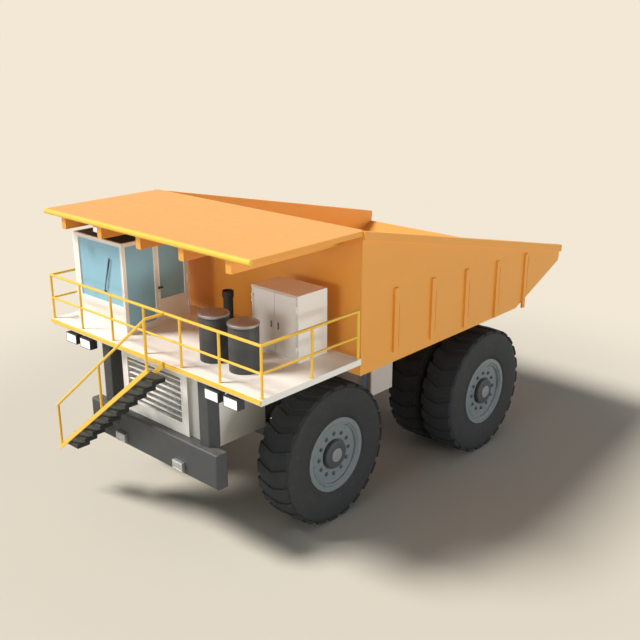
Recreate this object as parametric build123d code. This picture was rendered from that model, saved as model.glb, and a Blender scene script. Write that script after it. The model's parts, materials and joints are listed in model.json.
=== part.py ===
from build123d import *
import math
import os

# Mining dump truck, full size, in millimetres.
# The truck faces -Y, +X is its left side and the ground is z = 0.
# Lengths along Y are laid out from the front axle and moved as one at the end,
# so that the origin lies under the middle of the whole truck.
os.makedirs("parts", exist_ok=True)

# Driving dimensions
wheelbase = 5500
tyre_radius = 1725
tyre_width = 970
front_tyre_x = 2455
rear_outer_tyre_x = 2975
twin_gap = 110
rear_inner_tyre_x = rear_outer_tyre_x - tyre_width - twin_gap
overall_front = -3600
overall_rear = 8970
shift_y = -(overall_front + overall_rear) / 2

# Fits
running_fit = 0.5
turn_gap = 8
seat_overlap = 0.3
door_gap = 8

# Tyre
lug_count = 24
lug_height = 45
lug_root = 25
lug_length_share = 0.6
lug_sweep = 176
crown_half = 452
bulge_radius = 1300
bead_radius = 880
bead_half = 410

# Rim and hub
rim_lip_radius = 930
rim_lip_width = 42
rim_bore_radius = 770
rim_barrel_wall = 45
rim_step_depth = 45
rim_step_radius = 720
rim_disc_depth = 90
rim_disc_thickness = 45
hub_radius = 360
hub_stand = 100
hub_edge = 30
hub_cap_radius = 170
hub_cap_stand = 20
hub_bore_radius = 160
hub_skin = 45
bolt_count = 12
bolt_circle = 510
bolt_radius = 40
bolt_stand = 32

# Frame rails and cross pieces
rail_x = 620
rail_width = 260
rail_front_bottom = 1990
rail_front_top = 2620
rail_rear_bottom = 2400
rail_rear_top = 3000
rail_kick_front = 2150
rail_kick_rear = 3150
rail_rear_end = 7120
cross_radius = 150
cross_tube_shares = [0.53, 0.655, 0.976]

# Bumper, columns and engine housing
bumper_front = -3110
bumper_rear = -2780
bumper_half = 2285
bumper_bottom = 1830
bumper_top = 2650
bumper_round = 60
column_x = 1725
column_width = 320
column_front = -2950
column_rear = -2620
column_round = 30
panel_front = -2900
panel_thickness = 110
panel_half = 1163
panel_bottom = 2650
housing_half = 1130
housing_rear = -560
housing_bottom = 2080
housing_wall = 45
grille_half = 968
grille_bottom = 2930
grille_top = 4010
slat_count = 7
slat_height = 60
slat_depth = 60
slat_set_back = 12
slat_end_share = 0.5
core_thickness = 160
core_gap = 45
engine_half = rail_x - rail_width / 2
engine_front = -2350
engine_rear = 0
engine_bottom = 2030
engine_top = 3350

# Deck and railing
deck_top = 4360
deck_thickness = 144
deck_half = 3700
deck_front = -3110
deck_rear = -120
kick_depth = 50
kick_drop = 120
kick_height = 105
rail_tube = 28
guard_post_tube = 25
guard_knee_tube = 22
guard_inset = 35
guard_height = 1095
guard_top = deck_top + guard_height
guard_knee_height = 520
guard_knee = deck_top + guard_knee_height
guard_front_inset = 50
guard_front_y = deck_front + guard_front_inset
guard_rear_inset = 70
guard_rear_y = deck_rear - guard_rear_inset
guard_post_share = 0.495
guard_post_y = guard_front_y + guard_post_share * (guard_rear_y - guard_front_y)
guard_front_bays = 6

# Stair across the front
tread_count = 10
tread_rise = 286
tread_run = 354.4
tread_depth = 490
tread_nose_reach = 150
tread_thickness = 110
tread_low_x = -2700
stringer_thickness = 40
stringer_height = 120
stringer_lift = 40
stringer_tail = 420
stair_front = overall_front
handrail_drop_x = -3050
handrail_bend_x = 745
handrail_middle_x = -1140
handrail_rise = 1170
handrail_inset = 34

# Cab
cab_side_gap = 467
cab_left = cab_side_gap - deck_half
cab_width = 1965
cab_right = cab_left + cab_width
cab_front_gap = 473
cab_front = deck_front + cab_front_gap
cab_length = 1897
cab_rear = cab_front + cab_length
cab_height = 2175
cab_top = deck_top + cab_height
cab_wall = 60
cab_floor = 60
cab_roof = 60
cab_glass = 14
screen_left_inset = 228
screen_left = cab_left + screen_left_inset
screen_right_inset = 62
screen_right = cab_right - screen_right_inset
screen_sill = 650
screen_bottom = deck_top + screen_sill
window_head = 80
window_top = cab_top - window_head
side_window_gap = 80
side_window_front = cab_front + side_window_gap
side_window_length = 800
side_window_rear = side_window_front + side_window_length
side_window_sill = 160
side_window_bottom = deck_top + side_window_sill
door_post = 57
door_front = side_window_rear + door_post
door_rear = cab_rear - cab_wall
door_sill = 90
door_bottom = deck_top + door_sill
door_glass_bottom = screen_bottom
door_frame = 62
door_grip = 28
door_grip_low = 275
door_grip_length = 130
wiper_low_shares = (0.588, 0.187)
wiper_high_shares = (0.745, 0.775)
wiper_radius = 14

# Driver's place
seat_x = (cab_left + cab_right) / 2
seat_width = 520
seat_height = 430
seat_cushion = 130
seat_back_low = 500
seat_back_top = 1150
seat_back_thickness = 120
seat_round = 50
seat_post_width = 260
dash_foot_depth = 220
dash_top_depth = 320
dash_height = 560
wheel_radius = 190
wheel_grip = 20
wheel_disc = 24
wheel_gap = 120
wheel_height = 720
wheel_lean_share = 0.5
column_radius = 45
column_foot_depth = 200
column_foot_height = 380

# Lamp box on the cab roof
lamp_box_x = seat_x
lamp_box_width = 230
lamp_box_lift = 100
lamp_box_height = 165
lamp_box_bottom = cab_top + lamp_box_lift
lamp_box_top = lamp_box_bottom + lamp_box_height
lamp_box_depth = 150
lamp_box_foot = 60

# Door hinges
hinge_pin = 9
hinge_knuckle = 19
hinge_height = 90
hinge_cap = 35
hinge_leaf = 62
hinge_leaf_thickness = 9
cab_hinge_shares = [0.15, 0.475, 0.873]
cabinet_hinge_shares = [0.2, 0.8]

# Cabinet, cans and pipe on the deck
cabinet_side_gap = 790
cabinet_right = deck_half - cabinet_side_gap
cabinet_width = 1410
cabinet_left = cabinet_right - cabinet_width
cabinet_rear_gap = 220
cabinet_rear = deck_rear - cabinet_rear_gap
cabinet_depth = 910
cabinet_front = cabinet_rear - cabinet_depth
cabinet_height = 1500
cabinet_top = deck_top + cabinet_height
cabinet_wall = 45
cabinet_split = (cabinet_left + cabinet_right) / 2
cabinet_sill = 60
cabinet_grip = 15
cabinet_grip_low = 645
cabinet_grip_height = 150
can_side_gap = 1417
can_outer_x = deck_half - can_side_gap
can_spacing = 929
can_inner_x = can_outer_x - can_spacing
can_front_gap = 875
can_y = deck_front + can_front_gap
can_radius = 320
can_lid_radius = 345
can_lid_height = 85
can_height = 1090
can_top = deck_top + can_height
can_lid_crown = 28
pipe_x = 210
pipe_y = -800
pipe_radius = 115
pipe_cap_radius = 136
pipe_cap_height = 90
pipe_height = 990
pipe_top = deck_top + pipe_height

# Lamps
headlamp_inner_x = 2260
headlamp_pitch = 580
headlamp_width = 420
headlamp_height = 235
headlamp_drop = 48
headlamp_top = deck_top - deck_thickness - headlamp_drop
headlamp_front = deck_front - kick_depth
headlamp_depth = 200
headlamp_rim = 18
headlamp_bracket = 90
fog_lamp_x = 1050
fog_lamp_width = 340
fog_lamp_height = 210
fog_lamp_lift = 200
fog_lamp_depth = 95

# Side tanks
tank_inner = 1000
tank_outer = 2320
tank_front = 1950
tank_rear = 2830
tank_bottom = 2390
tank_top = 3550
tank_round = 45
gauge_x = 2120
gauge_width = 50
gauge_stand = 15
gauge_bottom = 2590
gauge_top = 3350
tank_arm_height = 180

# Front axle, knuckles and struts
strut_x = 1450
strut_radius = 150
strut_rod_radius = 105
strut_split = 2560
strut_top = 3160
axle_height = tyre_radius
kingpin_x = front_tyre_x
axle_boss_radius = 130
axle_boss_half = 230
axle_half_depth = 117
axle_end_half = 130
axle_mid_top = 160
axle_mid_bottom = 240
axle_mid_x = strut_x + strut_radius
knuckle_ear_gap = running_fit
knuckle_ear_height = 110
knuckle_ear_width = 320
knuckle_plate_inner = 150
knuckle_plate_thickness = 80
knuckle_plate_half = 190
spindle_radius = hub_bore_radius - running_fit
spindle_end_gap = 32
hub_front = bead_half + rim_lip_width - rim_disc_depth + hub_stand
spindle_reach = hub_front - hub_skin - spindle_end_gap
outrigger_half = 240
outrigger_outer = 1640
outrigger_top = 3440
post_x = 1450
post_width = 300
post_front = -260
post_rear = -60

# Rear axle and struts
axle_bowl_radius = 520
axle_bowl_half = 480
axle_tube_radius = 320
axle_tube_half = 1380
rear_spindle_radius = 240
rear_spindle_end = 2900
arm_front = 3700
arm_half_front = 90
arm_half_rear = 300
arm_height = 220
rear_strut_x = 1010
rear_strut_low = (5950, 1765)
rear_strut_high = (6250, 2680)
rear_arm_height = 220
rear_strut_radius = 120
rear_strut_rod_radius = 85
rear_strut_split_share = 0.45
rear_arm_outer = 1160
rear_bracket_width = 240

# Dump body
body_front = 110
body_half = 3500
body_bottom = 3830
body_break = 6700
body_tail = 8920
body_tail_height = 4760
body_tail_rise = 450
body_rail_end = overall_rear
body_rail_end_height = body_tail_height + body_tail_rise
canopy_clearance = 465
canopy_bottom = cab_top + canopy_clearance
canopy_thickness = 120
body_top = canopy_bottom + canopy_thickness
side_thickness = 60
floor_thickness = 120
front_wall_thickness = 80
top_rail_height = 200
top_rail_proud = 60
side_rib_width = 125
side_rib_proud = 60
side_rib_count = 5
side_rib_first = 1290
side_rib_pitch = 1434
side_rib_lift = 262
side_rib_height = 1526
side_rib_drop = 76
canopy_overhang = 10
canopy_half = body_half + canopy_overhang
canopy_front = -3080
canopy_rib_pairs = 2
canopy_rib_pitch = 1415
canopy_rib_width = 160
canopy_rib_height = 280
canopy_rib_bottom = canopy_bottom - canopy_rib_height
canopy_bar_radius = 62
beam_side_gap = 12
beam_width = rail_width - 2 * beam_side_gap
beam_front = 420
beam_bottom = 3030
floor_rib_width = 150
floor_rib_height = 130
floor_rib_half = 1200

# Body hinge at the tail of the frame
hinge_y = 7000
hinge_z = 3200
hinge_pin_radius = 70
hinge_bore_radius = hinge_pin_radius + running_fit
hinge_nose_radius = 175
hinge_cheek_thickness = 70
hinge_cheek_radius = 200

# Hoist cylinders
hoist_x = 1050
hoist_low = (4750, 1400)
hoist_high = (5000, 3600)
barrel_radius = 155
barrel_bore = 105
barrel_length = 1960
barrel_floor = 260
rod_radius = barrel_bore - running_fit
rod_length = 1850
eye_width = 150
eye_radius = 125
hoist_pin_radius = 60
pin_head = 25
lug_plate_thickness = 40
lug_plate_gap = running_fit
lug_reach = 100
lug_plate_radius = 120
hoist_tube_radius = 90
hoist_tube_half = 1270
hoist_hanger_half = 150


def block(x0, x1, y0, y1, z0, z1):
    # Box given by its two limits along each axis.
    middle = Pos((x0 + x1) / 2, (y0 + y1) / 2, (z0 + z1) / 2)
    return middle * Box(abs(x1 - x0), abs(y1 - y0), abs(z1 - z0))


def rounded_block(x0, x1, y0, y1, z0, z1, radius, axis):
    # Box with the edges along one axis rounded.
    box = block(x0, x1, y0, y1, z0, z1)
    return fillet(box.edges().filter_by(axis), radius)


def disc_x(x0, x1, y, z, radius):
    # Round bar along X.
    turned = Pos((x0 + x1) / 2, y, z) * Rot(0, 90, 0)
    return turned * Cylinder(radius, abs(x1 - x0))


def bar(start, end, radius):
    # Round bar between two points.
    a = Vector(*start)
    b = Vector(*end)
    place = Plane(origin=(a + b) / 2, z_dir=b - a)
    return place * Cylinder(radius, (b - a).length)


def side_plate(points, x0, x1):
    # Outline of (y, z) points carried from x0 to x1.
    outline = make_face(Plane.YZ * Polyline(*[(y, z) for y, z in points], close=True))
    return Pos(x0, 0, 0) * extrude(outline, x1 - x0, dir=(1, 0, 0))


def front_plate(points, y0, y1):
    # Outline of (x, z) points carried from y0 to y1.
    face = make_face(Polyline(*[(x, y0, z) for x, z in points], close=True))
    return extrude(face, y1 - y0, dir=(0, 1, 0))


def turned_x(points):
    # Outline of (x, radius) points turned about the X axis.
    face = make_face(Polyline(*[(x, 0, radius) for x, radius in points], close=True))
    return revolve(face, Axis.X)


def both_sides(shape):
    return [shape, mirror(shape, Plane.YZ)]


def save(name, *shapes):
    # One file for each named piece, moved so that the origin is under the middle.
    solids = []
    for shape in shapes:
        solids.extend(shape.solids())
    moved = [Pos(0, shift_y, 0) * solid for solid in solids]
    for solid in moved:
        solid.label = name
    piece = moved[0] if len(moved) == 1 else Compound(children=moved, label=name)
    export_step(piece, "parts/" + name + ".step")


# Tyre with swept chevron lugs, centred on the origin with its axis along X
def make_tyre_slice():
    # One flat slice of the carcass, as wide as the pitch of the lugs, with its lug on top.
    crown = tyre_radius - lug_height
    half = tyre_width / 2
    low = bead_radius - rim_barrel_wall
    side = [
        (bead_half, low),
        (bead_half, rim_lip_radius + turn_gap),
        (half, bulge_radius),
        (crown_half, crown),
    ]
    outline = [(-x, z) for x, z in side] + side[::-1]
    carcass = front_plate(outline, -crown, crown)
    spread = tyre_radius * math.tan(math.pi / lug_count)
    wedge = side_plate(
        [(0, 0), (spread, tyre_radius), (-spread, tyre_radius)], -tyre_width, tyre_width,
    )
    return (carcass & wedge) + make_lug(crown)


def make_lug(crown):
    pitch = 2 * math.pi * tyre_radius / lug_count
    half_lug = pitch * lug_length_share / 2
    sweep = lug_sweep / 2
    top = Plane(origin=(0, 0, crown - lug_root), x_dir=(1, 0, 0), z_dir=(0, 0, 1))
    outline = top * Polyline(
        (-crown_half, sweep - half_lug), (0, -sweep - half_lug), (crown_half, sweep - half_lug),
        (crown_half, sweep + half_lug), (0, half_lug - sweep), (-crown_half, sweep + half_lug),
        close=True,
    )
    return extrude(make_face(outline), lug_height + lug_root, dir=(0, 0, 1))


def make_tyre():
    step = 360 / lug_count
    first = make_tyre_slice()
    ring = first + [Rot(step * i, 0, 0) * first for i in range(1, lug_count)]
    return ring - disc_x(-tyre_width, tyre_width, 0, 0, bead_radius)


# Rim whose open face looks along +X, centred on its tyre
def rim_outline(disc):
    lip_out = bead_half + rim_lip_width
    barrel = bead_radius - rim_barrel_wall
    step = lip_out - rim_step_depth
    face = lip_out - rim_disc_depth
    back = face - rim_disc_thickness
    inner = [(-lip_out, barrel), (-lip_out, rim_lip_radius), (-bead_half, rim_lip_radius)]
    seat = [(-bead_half, bead_radius), (bead_half, bead_radius)]
    lip = [(bead_half, rim_lip_radius), (lip_out, rim_lip_radius)]
    if not disc:
        return inner + seat + lip + [(lip_out, barrel)]
    dish = [
        (lip_out, rim_bore_radius),
        (step, rim_bore_radius),
        (step, rim_step_radius),
        (face, rim_step_radius),
        (face, hub_radius),
        (back, hub_radius),
        (back, barrel),
    ]
    return inner + seat + lip + dish


def make_hub():
    face = bead_half + rim_lip_width - rim_disc_depth
    front = face + hub_stand
    back = face - rim_disc_thickness
    cap = front + hub_cap_stand
    return turned_x([
        (back, hub_bore_radius),
        (back, hub_radius + seat_overlap),
        (front - hub_edge, hub_radius + seat_overlap),
        (front, hub_radius - hub_edge),
        (front, hub_cap_radius),
        (cap, hub_cap_radius),
        (cap, 0),
        (front - hub_skin, 0),
        (front - hub_skin, hub_bore_radius),
    ])


def make_bolts():
    face = bead_half + rim_lip_width - rim_disc_depth
    bolt = disc_x(face - seat_overlap, face + bolt_stand, 0, bolt_circle, bolt_radius)
    return [Rot(360 / bolt_count * i, 0, 0) * bolt for i in range(bolt_count)]


def make_front_rim():
    return turned_x(rim_outline(True)) + make_hub() + make_bolts()


def make_rear_rim():
    # The inner ring is carried from the outer rim by a plain spacer drum.
    inner_x = rear_inner_tyre_x - rear_outer_tyre_x
    ring = Pos(inner_x, 0, 0) * turned_x(rim_outline(False))
    barrel = bead_radius - rim_barrel_wall
    lip_out = bead_half + rim_lip_width
    spacer = turned_x([
        (inner_x + lip_out, barrel),
        (inner_x + lip_out, bead_radius),
        (-lip_out, bead_radius),
        (-lip_out, barrel),
    ])
    rim = turned_x(rim_outline(True)) + [ring, spacer]
    return rim + make_hub() + make_bolts()


def save_wheels():
    tyre = make_tyre()
    front = Pos(front_tyre_x, 0, axle_height)
    outer = Pos(rear_outer_tyre_x, wheelbase, axle_height)
    inner = Pos(rear_inner_tyre_x, wheelbase, axle_height)
    front_tyres = both_sides(front * tyre)
    outer_tyres = both_sides(outer * tyre)
    inner_tyres = both_sides(inner * tyre)
    front_rims = both_sides(front * make_front_rim())
    rear_rims = both_sides(outer * make_rear_rim())
    for i, side in enumerate(["left", "right"]):
        save("tyre_front_" + side, front_tyres[i])
        save("tyres_rear_" + side, outer_tyres[i], inner_tyres[i])
        save("rim_front_" + side, front_rims[i])
        save("rim_rear_" + side, rear_rims[i])


# Frame rails with cross tubes, outriggers, hinge cheeks and hoist tube
def make_rail():
    outline = [
        (bumper_rear, rail_front_bottom),
        (rail_kick_front, rail_front_bottom),
        (rail_kick_rear, rail_rear_bottom),
        (rail_rear_end, rail_rear_bottom),
        (rail_rear_end, rail_rear_top),
        (rail_kick_rear, rail_rear_top),
        (rail_kick_front, rail_front_top),
        (bumper_rear, rail_front_top),
    ]
    return side_plate(outline, rail_x - rail_width / 2, rail_x + rail_width / 2)


def rail_middle(y):
    # Height of the middle of the rail's web, on its straight ends and along the kick.
    share = min(max((y - rail_kick_front) / (rail_kick_rear - rail_kick_front), 0), 1)
    front = (rail_front_bottom + rail_front_top) / 2
    rear = (rail_rear_bottom + rail_rear_top) / 2
    return front + share * (rear - front)


def make_outrigger():
    inner = rail_x + rail_width / 2 - seat_overlap
    depth = rail_front_top - rail_front_bottom
    outline = [
        (inner, rail_front_bottom + depth / 4),
        (strut_x - strut_radius, strut_top - depth / 2),
        (strut_x - strut_radius, strut_top),
        (outrigger_outer, strut_top),
        (outrigger_outer, outrigger_top),
        (strut_x - strut_radius, outrigger_top),
        (inner, rail_front_top),
    ]
    arm = front_plate(outline, -outrigger_half, outrigger_half)
    post = block(
        post_x - post_width / 2, post_x + post_width / 2, post_front, post_rear,
        outrigger_top - seat_overlap, deck_top - deck_thickness,
    )
    return arm + post


def make_hinge_cheeks():
    parts = []
    for inner in (rail_x - rail_width / 2, rail_x + rail_width / 2 - hinge_cheek_thickness):
        sign = -1 if inner < rail_x - rail_width / 4 else 1
        x0 = inner + sign * (hinge_cheek_thickness - seat_overlap)
        cheek = disc_x(x0, x0 + hinge_cheek_thickness, hinge_y, hinge_z, hinge_cheek_radius)
        foot = block(
            x0, x0 + hinge_cheek_thickness, hinge_y - hinge_cheek_radius,
            hinge_y + hinge_cheek_radius / 2, rail_rear_bottom, hinge_z,
        )
        parts.append(cheek + foot)
    reach = rail_width / 2 + hinge_cheek_thickness
    pin = disc_x(rail_x - reach, rail_x + reach, hinge_y, hinge_z, hinge_pin_radius)
    return parts + [pin]


def make_frame():
    half = []
    rail = make_rail()
    half.extend([make_outrigger()] + make_hinge_cheeks())
    hanger = side_plate(
        [
            (hoist_low[0] - hoist_hanger_half, hoist_low[1] - hoist_hanger_half),
            (hoist_low[0] + hoist_hanger_half, hoist_low[1] - hoist_hanger_half),
            (hoist_low[0] + 2 * hoist_hanger_half, rail_rear_bottom + seat_overlap),
            (hoist_low[0] - 2 * hoist_hanger_half, rail_rear_bottom + seat_overlap),
        ],
        rail_x - rail_width / 4, rail_x + rail_width / 4,
    )
    arm = block(
        rail_x, rear_arm_outer, rear_strut_high[0] - rear_bracket_width / 2,
        rear_strut_high[0] + rear_bracket_width / 2, rear_strut_high[1],
        rear_strut_high[1] + rear_arm_height,
    )
    tank_arm = block(
        rail_x, tank_inner, tank_front + tank_arm_height, tank_rear - tank_arm_height,
        tank_bottom, tank_bottom + tank_arm_height,
    )
    half.extend([hanger, arm, tank_arm])
    mirrored = [mirror(piece, Plane.YZ) for piece in half]
    tubes = []
    for share in cross_tube_shares:
        y = bumper_rear + share * (rail_rear_end - bumper_rear)
        tubes.append(disc_x(-rail_x, rail_x, y, rail_middle(y), cross_radius))
    tubes.append(disc_x(-hoist_tube_half, hoist_tube_half, *hoist_low, hoist_tube_radius))
    return rail + [mirror(rail, Plane.YZ)] + half + mirrored + tubes


# Front end below the deck
def make_bumper():
    body = block(-bumper_half, bumper_half, bumper_front, bumper_rear, bumper_bottom, bumper_top)
    return fillet(body.edges().filter_by(Axis.Z) + body.edges().filter_by(Axis.X), bumper_round)


def make_column():
    column = rounded_block(
        column_x - column_width / 2, column_x + column_width / 2, column_front, column_rear,
        bumper_top, deck_top - deck_thickness, column_round, Axis.Z,
    )
    foot = block(
        column_x - column_width / 2 + column_round, column_x + column_width / 2 - column_round,
        bumper_rear, column_rear, bumper_top - column_width, bumper_top + column_round,
    )
    return column + foot


def make_housing():
    top = deck_top - deck_thickness
    panel_rear = panel_front + panel_thickness
    panel = block(-panel_half, panel_half, panel_front, panel_rear, panel_bottom, top)
    opening = block(
        -grille_half, grille_half, panel_front - panel_thickness,
        panel_front + 2 * panel_thickness, grille_bottom, grille_top,
    )
    shell = block(
        -housing_half, housing_half, panel_front + panel_thickness / 2, housing_rear,
        housing_bottom, top,
    )
    clear_front = block(
        -panel_half, panel_half, column_front, bumper_rear + seat_overlap,
        housing_bottom - housing_wall, panel_bottom,
    )
    hollow = block(
        housing_wall - housing_half, housing_half - housing_wall,
        panel_front + panel_thickness, housing_rear + housing_wall,
        housing_bottom - housing_wall, top - housing_wall,
    )
    return panel + (shell - clear_front) - opening - hollow


def make_slats():
    pitch = (grille_top - grille_bottom) / (slat_count + slat_end_share)
    first = grille_bottom + pitch * (1 + slat_end_share) / 2
    front = panel_front + slat_set_back
    slats = []
    for i in range(slat_count):
        middle = first + pitch * i
        slats.append(block(
            -grille_half, grille_half, front, front + slat_depth,
            middle - slat_height / 2, middle + slat_height / 2,
        ))
    return slats


def make_core():
    front = panel_front + panel_thickness
    inner = housing_half - housing_wall
    return block(
        -inner, inner, front, front + core_thickness,
        rail_front_top + core_gap, deck_top - deck_thickness - housing_wall,
    )


def make_engine():
    return block(
        -engine_half, engine_half, engine_front, engine_rear, engine_bottom, engine_top,
    )


def save_front():
    save("chassis_frame", make_frame())
    save("bumper", make_bumper())
    save("deck_columns", *both_sides(make_column()))
    save("engine_housing", make_housing())
    save("grille_slats", *make_slats())
    save("radiator_core", make_core())
    save("engine_block", make_engine())


# Deck with beams, kick bar and guard rail
def make_deck():
    return block(-deck_half, deck_half, deck_front, deck_rear, deck_top - deck_thickness, deck_top)


def make_kick_bar():
    return block(
        -deck_half, deck_half, deck_front - kick_depth, deck_front,
        deck_top - kick_drop, deck_top - kick_drop + kick_height,
    )


def bent_tube(radius, *points):
    path = Polyline(*points)
    section = Plane(origin=path @ 0, z_dir=path % 0) * Circle(radius)
    return sweep(section, path=path, transition=Transition.RIGHT)


def make_guard_rail():
    # One bent tube runs up a rear post, round three sides and down the other rear post.
    edge = deck_half - guard_inset
    top = bent_tube(
        rail_tube,
        (-edge, guard_rear_y, deck_top), (-edge, guard_rear_y, guard_top),
        (-edge, guard_front_y, guard_top), (edge, guard_front_y, guard_top),
        (edge, guard_rear_y, guard_top), (edge, guard_rear_y, deck_top),
    )
    knee = bent_tube(
        guard_knee_tube,
        (-edge, guard_rear_y, guard_knee), (-edge, guard_front_y, guard_knee),
        (edge, guard_front_y, guard_knee), (edge, guard_rear_y, guard_knee),
    )
    bay = 2 * edge / guard_front_bays
    places = [(-edge + bay * i, guard_front_y) for i in range(guard_front_bays + 1)]
    places.extend([(-edge, guard_post_y), (edge, guard_post_y)])
    posts = [bar((x, y, deck_top), (x, y, guard_top), guard_post_tube) for x, y in places]
    return top + knee + posts


# Stair: two stringers, treads between them and a handrail on the outer side
def stair_line(x):
    # Height of the tread noses at a place along the stair.
    return deck_top - tread_rise * tread_count + (x - tread_low_x) * tread_rise / tread_run


def make_stringer(y0, y1, top_x):
    low_x = tread_low_x - stringer_tail
    low = stair_line(low_x) + stringer_lift
    high = stair_line(top_x) + stringer_lift
    return front_plate(
        [
            (low_x, low - stringer_height / 2),
            (top_x, high - stringer_height / 2),
            (top_x, high + stringer_height / 2),
            (low_x, low + stringer_height / 2),
        ],
        y0, y1,
    )


def make_stair_rails():
    near = make_stringer(stair_front, stair_front + stringer_thickness, handrail_bend_x)
    far_back = deck_front - kick_depth
    far = make_stringer(far_back - stringer_thickness, far_back, handrail_bend_x)
    y = stair_front + handrail_inset
    low_top = stair_line(handrail_drop_x) + handrail_rise
    tubes = [bent_tube(
        rail_tube,
        (handrail_bend_x, guard_front_y - rail_tube, guard_top),
        (handrail_bend_x, y, guard_top),
        (handrail_drop_x, y, low_top),
        (handrail_drop_x, y, stair_line(handrail_drop_x) + stringer_lift),
    )]
    for x in (handrail_middle_x, handrail_bend_x - 2 * rail_tube):
        share = (x - handrail_drop_x) / (handrail_bend_x - handrail_drop_x)
        head = low_top + share * (guard_top - low_top)
        tubes.append(bar((x, y, stair_line(x) + stringer_lift), (x, y, head), rail_tube))
    return [near + tubes, far]


def make_treads():
    y0 = stair_front + stringer_thickness
    y1 = deck_front - kick_depth - stringer_thickness
    treads = []
    for i in range(tread_count):
        top = stair_line(tread_low_x + tread_run * i)
        nose = tread_low_x + tread_run * i - tread_nose_reach
        treads.append(block(nose, nose + tread_depth, y0, y1, top - tread_thickness, top))
    return treads


def save_deck():
    save("deck_plate", make_deck())
    save("guard_rail", make_guard_rail(), make_kick_bar())
    save("stair_rails", *make_stair_rails())
    save("stair_treads", *make_treads())


# Cab walls, floor, roof, glass, door and fittings
def make_cab_ends():
    # The front wall around the windscreen, and the back wall that carries the door's hinges.
    walls = []
    for y in (cab_front, cab_rear - cab_wall):
        walls.append(block(cab_left, cab_right, y, y + cab_wall, deck_top, cab_top))
    screen = block(
        screen_left, screen_right, cab_front - cab_wall, cab_front + 2 * cab_wall,
        screen_bottom, window_top,
    )
    return [walls[0] - screen, walls[1] + cab_hinges()[0]]


def make_cab_sides():
    # Both side walls have a long window, the left one a second, the right one the doorway.
    y0 = cab_front + cab_wall
    y1 = cab_rear - cab_wall
    window = block(
        cab_left - cab_wall, cab_right + cab_wall, side_window_front, side_window_rear,
        side_window_bottom, window_top,
    )
    rear_window = block(
        cab_left - cab_wall, cab_left + 2 * cab_wall, door_front + door_frame,
        door_rear - door_frame, door_glass_bottom, window_top,
    )
    doorway = block(
        cab_right - 2 * cab_wall, cab_right + cab_wall, door_front, door_rear + cab_wall,
        door_bottom, window_top,
    )
    left = block(cab_left, cab_left + cab_wall, y0, y1, deck_top, cab_top)
    right = block(cab_right - cab_wall, cab_right, y0, y1, deck_top, cab_top)
    return [left - window - rear_window, right - window - doorway]


def make_cab_floor():
    return block(
        cab_left + cab_wall, cab_right - cab_wall, cab_front + cab_wall, cab_rear - cab_wall,
        deck_top, deck_top + cab_floor,
    )


def make_cab_glass():
    inset = (cab_wall - cab_glass) / 2
    front = cab_front + inset
    panes = [block(screen_left, screen_right, front, front + cab_glass, screen_bottom, window_top)]
    for x in (cab_left + inset, cab_right - inset - cab_glass):
        panes.append(block(
            x, x + cab_glass, side_window_front, side_window_rear, side_window_bottom, window_top,
        ))
    x = cab_left + inset
    panes.append(block(
        x, x + cab_glass, door_front + door_frame, door_rear - door_frame,
        door_glass_bottom, window_top,
    ))
    return panes


def make_cab_roof():
    return block(
        cab_left + cab_wall, cab_right - cab_wall, cab_front + cab_wall, cab_rear - cab_wall,
        cab_top - cab_roof, cab_top,
    )


def make_cab_door():
    y0 = door_front + door_gap
    y1 = door_rear - door_gap
    z1 = window_top - door_gap
    leaf = block(cab_right - cab_wall, cab_right, y0, y1, door_bottom + door_gap, z1)
    opening = block(
        cab_right - 2 * cab_wall, cab_right + cab_wall, y0 + door_frame, y1 - door_frame,
        door_glass_bottom, z1 - door_frame,
    )
    grip_y = y0 + door_frame / 4
    grip_z = door_glass_bottom + door_grip_low
    grip = block(
        cab_right, cab_right + door_grip, grip_y, grip_y + door_grip_length,
        grip_z, grip_z + door_grip,
    )
    return leaf - opening + grip + cab_hinges()[1]


def make_cab_door_glass():
    y0 = door_front + door_gap + door_frame
    y1 = door_rear - door_gap - door_frame
    x0 = cab_right - (cab_wall + cab_glass) / 2
    return block(
        x0, x0 + cab_glass, y0, y1, door_glass_bottom, window_top - door_gap - door_frame,
    )


def make_seat():
    floor = deck_top + cab_floor
    half = seat_width / 2
    middle = (cab_front + cab_rear) / 2
    top = floor + seat_height + seat_cushion
    cushion = rounded_block(
        seat_x - half, seat_x + half, middle - half, middle + half,
        floor + seat_height, top, seat_round, Axis.Y,
    )
    back = rounded_block(
        seat_x - half, seat_x + half, middle + half - seat_back_thickness, middle + half,
        floor + seat_back_low, floor + seat_back_top, seat_round, Axis.X,
    )
    post = seat_post_width / 2
    base = block(
        seat_x - post, seat_x + post, middle - post, middle + post,
        floor, floor + seat_height + seat_overlap,
    )
    return cushion + [back, base]


def make_dash():
    # Dash panel across the cab, with the steering column and a dished wheel.
    floor = deck_top + cab_floor
    wall = cab_front + cab_wall
    panel = side_plate(
        [
            (wall, floor), (wall + dash_foot_depth, floor),
            (wall + dash_top_depth, floor + dash_height), (wall, floor + dash_height),
        ],
        cab_left + cab_wall, cab_right - cab_wall,
    )
    seat_front = (cab_front + cab_rear) / 2 - seat_width / 2
    hub = (seat_x, seat_front - wheel_gap, floor + wheel_height)
    place = Plane(origin=hub, z_dir=(0, wheel_lean_share, 1))
    wheel = place * Torus(wheel_radius, wheel_grip)
    disc = place * Cylinder(wheel_radius, wheel_disc)
    foot = (seat_x, wall + column_foot_depth, floor + column_foot_height)
    return panel + [bar(foot, hub, column_radius), disc, wheel]


def screen_point(shares):
    x = screen_left + shares[0] * (screen_right - screen_left)
    return x, screen_bottom + shares[1] * (window_top - screen_bottom)


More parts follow.
